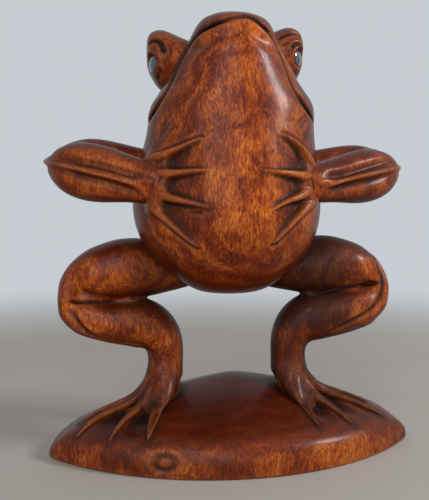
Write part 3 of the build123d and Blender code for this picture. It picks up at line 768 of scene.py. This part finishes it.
# Height of the mound and size of its plan there, as shares
MOUND_SHARES = np.array([
    (0, 0.985), (0.02, 0.998), (0.06, 1), (0.17, 0.998), (0.28, 0.985), (0.37, 0.955), (0.45, 0.9),
    (0.53, 0.82), (0.63, 0.7), (0.735, 0.555), (0.83, 0.41), (0.92, 0.235), (0.98, 0.1), (1, 0.01),
])
# Distance out along the base and height of its outline seen from the front, as shares
SLOPE_SHARES = np.array([
    (0, 1.01), (0.24, 0.925), (0.5, 0.775), (0.78, 0.535), (0.88, 0.36), (0.945, 0.2), (0.985, 0),
])
# A small dark knot with a crack in the front wall
KNOT_CRACK = [(-38.9, -45.9, 18.2), (-46.9, -47.6, 12.7), (-48.6, -48.8, 7.8), (-48.1, -50.7, 3.2)]
KNOT = (-39.3, -52.4, 8.8)
KNOT_SIZE = (6.5, 6.5, 5.0)
KNOT_DEPTH = 0.9
TOE_HOLLOW_DEPTH = 2.0


def soft_least(first, second, soft):
    """A soft minimum: -soft times the log of e^(-first / soft) + e^(-second / soft)."""
    return -soft * np.log(np.exp(-first / soft) + np.exp(-second / soft))


def rim_reach(angle):
    """How far the base's outline lies from the mound's middle in a direction.

    The outline is two arcs through the tips, and a soft minimum of the two rounds the tips.
    """
    ways = []
    for crest in (-BASE_FRONT, BASE_BACK):
        rise = abs(crest + BASE_TIP_SETBACK)
        radius = (BASE_HALF_WIDTH**2 + rise**2) / (2 * rise)
        middle = crest + math.copysign(radius, -BASE_TIP_SETBACK - crest)
        toward = np.cos(angle) * MOUND_SHIFT + np.sin(angle) * (MOUND_SETBACK - middle)
        apart = MOUND_SHIFT**2 + (MOUND_SETBACK - middle) ** 2
        ways.append(np.sqrt(toward**2 - apart + radius**2) - toward)
    return soft_least(ways[0] - 90, ways[1] - 90, RIM_SOFT) + 90


def slope_height(x):
    """The height of the base's outline above x."""
    curve = spline(SLOPE_SHARES * [BASE_HALF_WIDTH, MOUND_HEIGHT], 200)
    return np.interp(np.abs(x - BASE_SHIFT), curve[:, 0], curve[:, 1])


def base_grid():
    """Rings of the base's outline that shrink up the mound, under the slope of both ends."""
    angle = circle(420)
    # crowd the rings' places towards the two far tips
    angle = angle - 0.3 * np.sin(2 * angle)
    reach = rim_reach(angle) * 0.998
    # in the spacing of rows, the whole plan counts as PLAN_SPAN against the height
    profile = spline(MOUND_SHARES * [MOUND_HEIGHT, PLAN_SPAN], 210)
    high, wide = profile[:, 0][:, None], profile[:, 1][:, None] / PLAN_SPAN
    under = np.linspace(0.02, 0.975, 14)[:, None]
    high = np.concatenate([np.zeros_like(under), high])
    wide = np.concatenate([under, wide])
    x = MOUND_SHIFT + wide * (reach * np.cos(angle))[None]
    y = MOUND_SETBACK + wide * (reach * np.sin(angle))[None]
    turn = math.radians(BASE_TURN_DEGREES)
    x, y = x * math.cos(turn) - y * math.sin(turn) + BASE_SHIFT, x * math.sin(turn) + y * math.cos(turn)
    top = np.maximum(slope_height(x), 0)
    z = soft_least(high, top, SLOPE_SOFT)
    z = np.maximum(z, 0) * step(high, 0, 2.5) + np.minimum(high, top) * (1 - step(high, 0, 2.5))
    return np.stack([x, y, z], -1)


def toe_hollows(places):
    """How far the mound sinks between neighbouring toes, deepest next to the web."""
    sunk = np.zeros(len(places))
    for side, sign in SIDES.items():
        near = np.flatnonzero((sign * places[:, 0] > 25) & (places[:, 2] > 9) & (places[:, 1] < 6))
        p = places[near]
        found = [along_line(p, np.array(toe)[:, :3], 24) for toe in TOES[side][:4]]
        for k in range(3):
            gap = np.minimum(found[k][0], found[k + 1][0])
            share = (found[k][1] + found[k + 1][1]) / 2
            both = (found[k][0] < 14) & (found[k + 1][0] < 14)
            sides = np.einsum("ij,ij->i", found[k][2], found[k + 1][2]) < 0
            depth = TOE_HOLLOW_DEPTH * step(gap, 1.6, 3.4)
            depth = depth * step(share, 0.3, 0.46) * step(1 - share, 0.06, 0.5)
            sunk[near] = np.maximum(sunk[near], depth * both * sides)
    return sunk


def make_base():
    """The base with its toe hollows, and a small knot with a crack in its front wall."""
    places, quads, fans = shell(base_grid())
    edges = edges_of(quads, fans)
    normal = normals(places, quads, fans)
    sunk = relaxed(toe_hollows(places)[:, None], edges, 8)[:, 0]
    crack = groove(places, KNOT_CRACK, 1.0, 2.0, (0.2, 0.2))
    knot_gap = np.linalg.norm((places - KNOT) / KNOT_SIZE, axis=1)
    knot = bell(knot_gap - 0.8, 0.28)
    places = places + normal * (crack - KNOT_DEPTH * knot - sunk)[:, None]
    # A little darker all over, and darker still towards the bottom of the wall: even tone with painted shade
    # low down.
    tone_and_bottom_shade = 0.08 + 0.16 * step(-places[:, 2], -16, -8)
    # The knot is dark wood; the crack is darkened with stain and painted shade.
    shade_and_stain = np.maximum(np.clip(-crack / 1.2, 0, 1), np.clip(0.75 * knot + tone_and_bottom_shade, 0, 1))
    # Painted shade in the hollows between the toes.
    shade_and_stain = np.maximum(shade_and_stain, np.clip(sunk / 1.6, 0, 0.9))
    # Painted shadow along both sides of each toe, and on the ground round each foot.
    for side, sign in SIDES.items():
        for toe in TOES[side]:
            distance, _, _ = along_line(places, np.array(toe)[:, :3], 8)
            shade_and_stain = np.maximum(shade_and_stain, 0.75 * bell(distance - 2.0, 1.5))
        foot_gap = np.linalg.norm((places - [sign * 40, -8, 38]) / [16, 15, 14], axis=1)
        shade_and_stain = np.maximum(shade_and_stain, 0.8 * step(-foot_gap, -1.25, -0.8))
    return wooden("carved_base", ["base"], places, quads, edges, shade_and_stain, fans)


# The legs

KNEE_RISES = {"right": -1.2, "left": 1.2}
KNEE = (95.8, -4.0, 93.0)
HIP = (30.0, 2.0, 104.5)
THIGH_TALL, THIGH_THICK, THIGH_BOW = 17.4, 18.0, 7.1
SHIN_TALL, SHIN_THICK = 15.0, 16.0
KNEE_CAP_RADIUS, KNEE_CAP_THICK, KNEE_CAP_AHEAD = 6.0, 9.0, 1.3
# How slim the toes are carved, and how far the fourth one is slimmer still
TOE_SLIM, LAST_TOE_SLIM = 0.74, 0.7
# How high each row of a toe after its first lies over the mound, in shares of its radius
TOE_LIFTS = (0.9, 0.5, 0.5, 0.5, 0.5)
LEG_VOXEL = 0.62
# How much darker the leg is next to the hip, and from how far out to how far out that fades
HIP_DARKENING = {"right": (0.5, 46, 66), "left": (0.86, 56, 90)}
# Along from the hip to the knee, size of the section, and how far its middle rises
THIGH_SHARES = [
    (-0.19, 0.5, -0.4), (0, 0.72, 0), (0.146, 0.89, 0.38), (0.336, 1, 0.75), (0.5, 1, 0.94),
    (0.62, 0.92, 1), (0.745, 0.8, 1), (0.854, 0.55, 0.89), (0.93, 0.38, 0.54), (0.98, 0.22, 0.18),
    (1, 0.1, -0.07),
]
ANKLE = (36.3, -6.0, 45.0)
ANKLE_RADIUS = 10.2
SHIN_TOP = (94.3, 88.5)
# Out and up from the ankle to the knee, and the two sizes of the section
SHIN_SHARES = [
    (0.995, 1, 0.2, 0.22), (0.965, 0.908, 0.42, 0.5), (0.85, 0.862, 0.8, 0.76),
    (0.683, 0.795, 0.885, 0.92), (0.467, 0.739, 0.94, 1), (0.267, 0.7, 0.98, 0.98),
    (0.095, 0.575, 0.87, 0.86), (0.02, 0.416, 0.75, 0.73), (0, 0.26, 0.69, 0.66), (0, 0.125, 0.68, 0.64),
]
# Out, up and size of the rounded knee that joins thigh and shin, in shares of its radius
KNEE_CAP_SHARES = [
    (-1.45, 2, 0.5), (-0.8, 0.85, 0.85), (-0.7, 0.05, 1), (-0.7, -1.05, 1), (-0.95, -2.1, 0.85),
    (-1.6, -2.8, 0.5),
]
# The foot's rows from the ankle down and forward, then its two sizes, square to the way it points
FOOT_ROWS = [
    (36.3, -6, 56, 9.6, 9.6), (36.5, -6.6, 50, 10.2, 10), (37.6, -8.2, 44, 10, 10.6),
    (40.2, -11, 38.5, 8.2, 12), (43.6, -13.8, 34.4, 5.8, 14), (46.8, -15.8, 30.9, 3.6, 14.8),
    (49.4, -17.2, 28.8, 2.2, 14.4), (51.6, -18.4, 26.6, 0.8, 13.6),
]
FOOT_ACROSS = (0.6, 0.8, 0.0)
# How much lower the shin's top lies than a full round would
FOLD_DROPS = {"right": 1.0, "left": 0.0}
FOLD_FILL_TALL = 3.6
# Wood behind the fold: out, height and thickness
FOLD_FILL = {
    "right": [(50, 91, 2), (62, 90, 4.5), (76, 90, 7), (86, 90.5, 7), (92, 91, 5)],
    "left": [(50, 92, 4), (62, 94, 5), (76, 95.5, 5), (86, 96.5, 5), (92, 97, 4)],
}
# Each toe's x, y, height and radius from the ankle to its tip, the inner toe first, and last
# the foot's inner edge
TOES = {
    "right": [
        [(-38, -14.5, 47, 3.2), (-41, -19.5, 37.5, 3.4), (-44.3, -28.5, 29.6, 2.6),
         (-46.6, -37.2, 24.2, 1.9), (-48.4, -45.8, 18.2, 0.8)],
        [(-41.5, -13, 46.5, 3.4), (-49.5, -19, 36, 3.5), (-56.8, -24.5, 29.4, 2.7),
         (-62.9, -30.5, 22.8, 1.9), (-68.6, -38.2, 15.6, 0.8)],
        [(-43.5, -10.5, 46.5, 3.4), (-54.5, -13.5, 35.5, 3.5), (-67.5, -16.5, 27.6, 2.8),
         (-78.4, -20.5, 21.6, 2), (-86.6, -26.5, 16.2, 0.8)],
        [(-44, -7, 46, 3.4), (-55, -8, 36, 3.4), (-67, -9.5, 28.8, 2.7), (-76.6, -12, 23.8, 1.9),
         (-84, -15.5, 19.2, 0.8)],
        [(-30.4, -11.5, 46.5, 2.6), (-31.5, -15, 41, 2.6), (-35.9, -18.9, 34.6, 2.3),
         (-39.6, -25, 29.6, 1.9), (-43.6, -35, 24.2, 1.5), (-47.2, -44, 19, 0.8)],
    ],
    "left": [
        [(37.5, -14.5, 47, 3.2), (40, -19.5, 38, 3.3), (42, -27.5, 31, 2.5), (44, -35, 25.8, 1.8),
         (45.9, -42.3, 20.2, 0.8)],
        [(41.5, -13, 46.5, 3.4), (49.5, -18.5, 37, 3.4), (56.5, -24, 30.2, 2.6), (62.5, -29.5, 23.8, 1.9),
         (67.9, -35.3, 17.6, 0.8)],
        [(43.5, -9.5, 46.5, 3.4), (55.5, -11, 36.5, 3.4), (69.5, -13, 28.4, 2.7), (81, -15.6, 21.4, 1.9),
         (90.6, -18.6, 15.6, 0.8)],
        [(44, -5, 46, 3.4), (55, -4, 37.5, 3.4), (67.5, -4.4, 30, 2.7), (78, -5.6, 23.8, 1.9),
         (87, -7.4, 17.4, 0.8)],
        [(30, -11, 46.8, 2.6), (31.2, -14.4, 41.8, 2.6), (34.8, -18.2, 35.8, 2.3),
         (38, -23.6, 31.2, 1.9), (41.4, -32.6, 26.4, 1.5), (44.8, -41, 20.9, 0.8)],
    ],
}
# Grooves on each leg: the fold between thigh and shin, and the line inside the rim
LEG_LINES = {
    "right": {
        "fold": [(-93.5, -2, 90.5), (-91.1, -7, 89.2), (-87.8, -12.4, 88.4), (-78.8, -15.3, 88.2),
                 (-67.8, -15.1, 87.9), (-56.6, -14.2, 87.7), (-47.5, -9.7, 88.5)],
        "rim": [(-90.3, -9, 87.4), (-87.7, -15.5, 81), (-83.9, -16, 74.8), (-77.2, -14.7, 69.1),
                (-66.4, -13.5, 65.1), (-52.9, -15.7, 63.8), (-46, -17, 63)],
    },
    "left": {
        "fold": [(93.4, -3, 97), (91.4, -10.9, 96.6), (78.5, -11.1, 94.7), (62.8, -10.7, 92.3),
                 (51.2, -11.3, 90.2), (42.1, -6.7, 88.1)],
        "rim": [(84.5, -9, 116.5), (87.4, -10.5, 112), (89.9, -12.7, 106.2), (91.1, -12.6, 100.2),
                (91.2, -13, 93), (88.6, -14.6, 86.2), (79.3, -18.3, 79), (64.2, -19, 71.2),
                (53.3, -15.7, 65.2)],
    },
}


def shin_rows(side):
    """Rows of the shin from the knee in under the thigh and down to the ankle."""
    sign = SIDES[side]
    rows = []
    for out, up, tall, thick in SHIN_SHARES:
        x = ANKLE[0] + (SHIN_TOP[0] - ANKLE[0]) * out
        y = ANKLE[1] + (KNEE[1] - ANKLE[1]) * out
        z = ANKLE[2] + (SHIN_TOP[1] + KNEE_RISES[side] - ANKLE[2]) * up
        slack = FOLD_DROPS[side] * float(step(out, 0.2, 0.45) * step(-out, -0.97, -0.88))
        rows.append((sign * x, y, z - slack, SHIN_TALL * tall - slack, SHIN_THICK * thick))
    rows.append((sign * ANKLE[0], ANKLE[1], ANKLE[2] - 2.0, ANKLE_RADIUS, ANKLE_RADIUS))
    return rows


def toes_on_ground(side, ground):
    """The toes' rows and the inner edge's, with the outer rows laid on the mound's surface."""
    laid = []
    for toe in TOES[side]:
        rows = np.array(toe)
        highest = rows[1, 2]
        for row, lift in zip(rows[1:], TOE_LIFTS):
            nearest = np.argmin(np.sum((ground[:, :2] - row[:2]) ** 2, axis=1))
            row[2] = ground[nearest, 2] + lift * row[3]
        rows[1, 2] = min(highest, rows[1, 2])
        laid.append(rows)
    laid[3][:, 3] *= LAST_TOE_SLIM
    return laid


def make_leg(side):
    """A folded leg on its webbed foot: thigh, shin, knee, ankle, web and four toes in one skin."""
    sign = SIDES[side]
    flip = np.array([sign, 1, 1])
    knee = np.array(KNEE) * flip + np.array([0, 0, KNEE_RISES[side]])
    hip = np.array(HIP) * flip
    cap = [
        (knee[0] + sign * KNEE_CAP_RADIUS * out, knee[1] - KNEE_CAP_AHEAD, knee[2] + KNEE_CAP_RADIUS * up,
         KNEE_CAP_RADIUS * size, KNEE_CAP_THICK * size)
        for out, up, size in KNEE_CAP_SHARES
    ]
    shells = [
        tube(limb_rows(hip, knee, THIGH_SHARES, THIGH_TALL, THIGH_THICK, THIGH_BOW), 110, 110),
        tube(shin_rows(side), 120, 100),
        tube(cap, 60, 60),
        tube([(sign * x, y, z, tall, wide) for x, y, z, tall, wide in FOOT_ROWS], 80, 90,
             np.array(FOOT_ACROSS) * flip),
    ]
    filler = [(sign * x, KNEE[1], z, FOLD_FILL_TALL, thick) for x, z, thick in FOLD_FILL[side]]
    shells.append(tube(filler, 50, 40))
    toes = toes_on_ground(side, base_grid()[30:].reshape(-1, 3))
    for toe in toes:
        shells.append(tube(toe[:, [0, 1, 2, 3, 3]] * [1, 1, 1, TOE_SLIM, TOE_SLIM], 60, 30, (0, 0, 1)))
    places, quads, edges = fused(shells, LEG_VOXEL, 3)
    lines = LEG_LINES[side]
    crease, _, _ = along_line(places, lines["fold"], 12)
    toe_gap = np.full(len(places), 9.0)
    for toe in toes:
        distance, _, _ = along_line(places, toe[:, :3], 9.0)
        toe_gap = np.minimum(toe_gap, distance)
    soft = step(places[:, 2], 66, 58) * step(places[:, 2], 26, 32) * step(toe_gap, 2.6, 4.5)
    knee_gap = np.linalg.norm((places - knee - np.array([-4.0 * sign, 0, 0])) / [1, 1.6, 1.6], axis=1)
    smooth = 1.3 * bell(crease, 4.5) + step(-knee_gap, -11, -7)
    places = relaxed(places, edges, 16, np.clip(soft + smooth, 0, 1))
    places = relaxed(places, edges, 26, np.clip(smooth, 0, 1))
    normal = normals(places, quads)
    fold = groove(places, laid_on_front(places, lines["fold"]), 1.0, 2.6, (0.22, 0.06))
    rim = groove(places, laid_on_front(places, lines["rim"]), 1.4, 1.5, (0.12, 0.2))
    split = groove(places, (toes[0][1:5, :3] + toes[4][1:5, :3]) / 2, 0.9, 1.5, (0.1, 0.2))
    places = places + normal * (fold + rim + split)[:, None]
    places = relaxed(places, edges, 2)
    out = sign * places[:, 0]
    # The leg is darker next to the hip and towards its lower end.
    dark, near, far = HIP_DARKENING[side]
    hip_darkening = dark * step(-out, -far, -near) * step(places[:, 2], 62, 76)
    low_darkening = dark * 0.75 * step(-places[:, 2], -76, -60)
    # The fold, rim and toe grooves are darkened: dark stain with painted shade.
    shade_and_stain = np.maximum(np.clip(-(fold + rim + split) / 1.5, 0, 1), np.maximum(hip_darkening, low_darkening))
    # Painted shade in the web between the toes.
    web = bell(toe_gap - 3.0, 1.1) * step(-places[:, 2], -40, -34)
    nodes = [side + "_thigh", side + "_shin", side + "_foot"]
    return wooden(side + "_leg", nodes, places, quads, edges, np.maximum(shade_and_stain, 0.8 * web))


# Materials

def node(tree, kind, links=(), **settings):
    """A node with its settings, and links from other sockets into its own by name or number."""
    made = tree.nodes.new(kind)
    for key, value in settings.items():
        if key.startswith("in_"):
            slot = key[3:]
            made.inputs[int(slot) if slot.isdigit() else slot.replace("_", " ")].default_value = value
        else:
            setattr(made, key, value)
    for socket, source in links:
        tree.links.new(source, made.inputs[socket])
    return made


def ramp(tree, source, stops):
    """A colour ramp read at a socket."""
    made = node(tree, "ShaderNodeValToRGB", [("Fac", source)])
    elements = made.color_ramp.elements
    while len(elements) < len(stops):
        elements.new(0.5)
    for element, (place, colour) in zip(elements, stops):
        element.position = place
        element.color = (*colour, 1)
    return made.outputs["Color"]


def mix(tree, amount, first, second, blend="MIX"):
    """Two colours mixed by an amount, which is a number or a socket."""
    made = node(tree, "ShaderNodeMix", data_type="RGBA", blend_type=blend)
    for index, value in ((0, amount), (6, first), (7, second)):
        if isinstance(value, bpy.types.NodeSocket):
            tree.links.new(value, made.inputs[index])
        elif index == 0:
            made.inputs[index].default_value = value
        else:
            made.inputs[index].default_value = (*value, 1)
    return made.outputs[2]


def maths(tree, operation, first, second=None):
    """One sum on two values, each a number or a socket."""
    made = node(tree, "ShaderNodeMath", operation=operation)
    for index, value in enumerate((first, second)):
        if isinstance(value, bpy.types.NodeSocket):
            tree.links.new(value, made.inputs[index])
        elif value is not None:
            made.inputs[index].default_value = value
    return made.outputs[0]


def times(tree, first, second):
    """Two values multiplied."""
    return maths(tree, "MULTIPLY", first, second)


def plus(tree, first, second):
    """Two values added."""
    return maths(tree, "ADD", first, second)


def noise(tree, place, scale, detail=2.0, out="Fac", **settings):
    """Noise read at a place."""
    made = node(tree, "ShaderNodeTexNoise", [("Vector", place)], in_Scale=scale, in_Detail=detail, **settings)
    return made.outputs[out]


def drawn_out(tree, place, share):
    """A place with its height shrunk to a share, which draws out upwards what is read there."""
    return node(tree, "ShaderNodeMapping", [("Vector", place)], in_Scale=(1, 1, share)).outputs[0]


def mark(tree, name):
    """One of the attributes that shade_marks leaves on a piece."""
    return node(tree, "ShaderNodeAttribute", attribute_name=name).outputs["Fac"]


def new_material(name):
    """An empty material, its node tree and the object coordinates in it."""
    material = bpy.data.materials.new(name)
    material.use_nodes = True
    tree = material.node_tree
    tree.nodes.clear()
    return material, tree, node(tree, "ShaderNodeTexCoord").outputs["Object"]


def show(tree, shader, kind="Material"):
    """The node that ends a material or a world."""
    node(tree, "ShaderNodeOutput" + kind, [("Surface", shader.outputs[0])])


def carved_hardwood():
    """Varnished reddish-brown hardwood: curly figure, short upright flecks, fine pores, faint rings.

    The figure is a sum of mottle, flecks and rings, calmer on level faces, and a ramp turns it
    into brown to orange. The marks on each piece then add painted light to faces turned to the front, lighten
    worn edges, and darken hollows with dark stain and painted shade.
    """
    material, tree, place = new_material("carved_hardwood")
    wander = noise(tree, place, 45.0, out="Color")
    swayed = node(tree, "ShaderNodeMix", [(4, place), (5, wander)], data_type="VECTOR", in_0=0.012).outputs[1]
    trunk = node(tree, "ShaderNodeMapping", [("Vector", swayed)], in_Location=(0.01, -0.12, 0.0)).outputs[0]
    rings = node(tree, "ShaderNodeTexWave", [("Vector", trunk)], wave_type="RINGS", rings_direction="Z",
                 in_Scale=38.0, in_Distortion=7.0, in_Detail=3.0, in_Detail_Scale=1.4).outputs["Fac"]
    mottle = noise(tree, drawn_out(tree, swayed, 0.45), 85.0, 4.0, in_Roughness=0.6)
    fleck = noise(tree, drawn_out(tree, swayed, 0.24), 880.0, 2.5, in_Roughness=0.62, in_Distortion=0.6)
    grain = noise(tree, drawn_out(tree, place, 0.07), 1500.0)
    pores = noise(tree, drawn_out(tree, place, 0.14), 2300.0, 1.0)
    flat, shade_and_stain = mark(tree, "flat"), mark(tree, "shade_and_stain")
    figure = plus(tree, times(tree, mottle, 0.2), times(tree, fleck, 0.6))
    figure = plus(tree, figure, plus(tree, times(tree, rings, 0.12), 0.04))
    calm = maths(tree, "SUBTRACT", 1.0, times(tree, flat, 0.65))
    figure = times(tree, maths(tree, "SUBTRACT", figure, 0.5), calm)
    figure = plus(tree, figure, maths(tree, "SUBTRACT", 0.5, times(tree, flat, 0.02)))
    colour = ramp(tree, figure, [
        (0.34, (0.075, 0.009, 0.002)), (0.44, (0.17, 0.024, 0.004)), (0.52, (0.29, 0.05, 0.007)),
        (0.6, (0.43, 0.105, 0.016)), (0.7, (0.58, 0.19, 0.036)),
    ])
    # The front-facing mark is painted light: it lightens faces turned to the front and darkens the rest.
    broad, painted_front_light = noise(tree, place, 22.0), mark(tree, "painted_front_light")
    for amount, source, stops in (
        (0.9, broad, [(0.36, (0.66, 0.46, 0.4)), (0.62, (1.22, 1.2, 1.05))]),
        (1.0, painted_front_light, [(0.0, (0.34, 0.24, 0.22)), (0.6, (0.88, 0.8, 0.74)), (1.0, (1.35, 1.4, 1.2))]),
        (0.7, grain, [(0.32, (0.62, 0.56, 0.52)), (0.55, (1.0, 1.0, 1.0))]),
        (0.8, pores, [(0.31, (0.22, 0.16, 0.14)), (0.4, (1, 1, 1))]),
    ):
        colour = mix(tree, amount, colour, ramp(tree, source, stops), "MULTIPLY")
    colour = mix(tree, times(tree, mark(tree, "worn"), 0.4), colour, (0.56, 0.165, 0.034))
    # Hollows, grooves and creases go near black: dark stain with painted shade.
    colour = mix(tree, times(tree, shade_and_stain, 0.95), colour, (0.016, 0.005, 0.003))
    height = plus(tree, times(tree, fleck, 0.5), times(tree, pores, 0.5))
    bump = node(tree, "ShaderNodeBump", [("Height", height)], in_Strength=0.1, in_Distance=0.0005)
    rough = plus(tree, plus(tree, times(tree, shade_and_stain, 0.34), 0.31), times(tree, mottle, 0.06))
    shader = node(tree, "ShaderNodeBsdfPrincipled",
                  [("Base Color", colour), ("Normal", bump.outputs[0]), ("Roughness", rough)],
                  in_Specular_IOR_Level=0.15, in_Coat_Weight=0.12, in_Coat_Roughness=0.14)
    show(tree, shader)
    return material


def polished_inlay():
    """Polished disc, black with a blue-grey in lighter clouds: the black is its own, the blue-grey a painted
    reflection of the pale room.
    """
    material, tree, place = new_material("polished_inlay")
    cloud_and_reflection = noise(tree, place, 260.0, 3.0)
    # Painted reflection: the lighter blue-grey stands for the pale room mirrored in the black disc.
    colour = ramp(tree, cloud_and_reflection, [(0.35, (0.018, 0.026, 0.032)), (0.7, (0.075, 0.1, 0.12))])
    shader = node(tree, "ShaderNodeBsdfPrincipled", [("Base Color", colour)], in_Roughness=0.12,
                  in_Coat_Weight=1.0, in_Coat_Roughness=0.04)
    show(tree, shader)
    return material


# Stage, lamps and camera

PALE = (0.565, 0.605, 0.64, 1)
FLOOR_REACH = 6.0


def seen_rays(tree):
    """1 for a ray from the camera, and for one that a surface mirrors or lets through."""
    path = node(tree, "ShaderNodeLightPath").outputs
    seen = maths(tree, "MAXIMUM", path["Is Camera Ray"], path["Is Glossy Ray"])
    return maths(tree, "MAXIMUM", seen, path["Is Transmission Ray"])


def make_stage():
    """A plain pale floor that catches the shadow, and far off has the backdrop's colour."""
    mesh = bpy.data.meshes.new("floor")
    corners = [(-1, -1), (1, -1), (1, 1), (-1, 1)]
    mesh.from_pydata([(FLOOR_REACH * x, FLOOR_REACH * y, 0) for x, y in corners], [], [(0, 1, 2, 3)])
    floor = placed("floor", mesh)
    material, tree, place = new_material("pale_floor")
    tint = ramp(tree, noise(tree, place, 3.0), [(0.3, (0.46, 0.41, 0.36)), (0.7, (0.5, 0.45, 0.4))])
    near = node(tree, "ShaderNodeBsdfPrincipled", [("Base Color", tint)], in_Roughness=0.7)
    far = node(tree, "ShaderNodeEmission", in_Color=PALE, in_Strength=1.0)
    away = node(tree, "ShaderNodeVectorMath", [(0, place)], operation="LENGTH").outputs["Value"]
    fade = node(tree, "ShaderNodeMapRange", [("Value", away)], interpolation_type="SMOOTHSTEP",
                in_From_Min=0.3, in_From_Max=0.8).outputs[0]
    share = times(tree, fade, seen_rays(tree))
    show(tree, node(tree, "ShaderNodeMixShader", [(0, share), (1, near.outputs[0]), (2, far.outputs[0])]))
    mesh.materials.append(material)


def lamp(name, place, target, size, power, colour):
    """A square area lamp that looks at a target."""
    light = bpy.data.lights.new(name, "AREA")
    light.size = size
    light.energy = power
    light.color = colour
    made = placed(name, light)
    made.location = place
    way = np.array(target, float) - np.array(place, float)
    level = math.hypot(way[0], way[1])
    made.rotation_euler = (math.atan2(level, -way[2]), 0, math.atan2(-way[0], way[1]))


def make_light():
    """A window on the right, a wide soft one in front, a small one above, and a dim pale world."""
    lamp("window", (0.98, -0.42, 0.78), (0, 0, 0.13), 0.28, 8.5, (0.9, 0.96, 1.0))
    lamp("front", (-0.5, -1.45, 0.5), (0, 0, 0.1), 1.6, 11.0, (1.0, 0.99, 0.98))
    lamp("ceiling", (-0.3, -0.85, 0.95), (0, 0, 0.1), 0.22, 0.9, (0.92, 0.96, 1.0))
    world = bpy.data.worlds.new("pale_room")
    bpy.context.scene.world = world
    world.use_nodes = True
    tree = world.node_tree
    tree.nodes.clear()
    room = node(tree, "ShaderNodeBackground", in_Color=(0.84, 0.86, 0.88, 1), in_Strength=0.36)
    pale = node(tree, "ShaderNodeBackground", in_Color=PALE, in_Strength=1.0)
    links = [(0, seen_rays(tree)), (1, room.outputs[0]), (2, pale.outputs[0])]
    show(tree, node(tree, "ShaderNodeMixShader", links), "World")


def make_camera():
    """The photograph's view: from the front, 8 degrees to the frog's right, a little downward."""
    data = bpy.data.cameras.new("camera")
    camera = placed("camera", data)
    data.sensor_width = 36.0
    data.lens = 50.4
    data.clip_start = 0.01
    camera.location = (-0.05748, -0.40898, 0.145)
    camera.rotation_mode = "XYZ"
    camera.rotation_euler = (math.radians(90 - 4.086), 0, -math.radians(7.06))
    bpy.context.scene.camera = camera


bpy.context.scene.view_settings.view_transform = "Standard"
wood = carved_hardwood()
pieces = [make_body(), make_head(), make_base()]
for side in SIDES:
    pieces += [make_arm(side), make_leg(side)]
for piece in pieces:
    piece.data.materials.append(wood)
inlay = polished_inlay()
for side in SIDES:
    make_inlay(side).data.materials.append(inlay)
make_stage()
make_light()
make_camera()

bpy.context.view_layer.update()
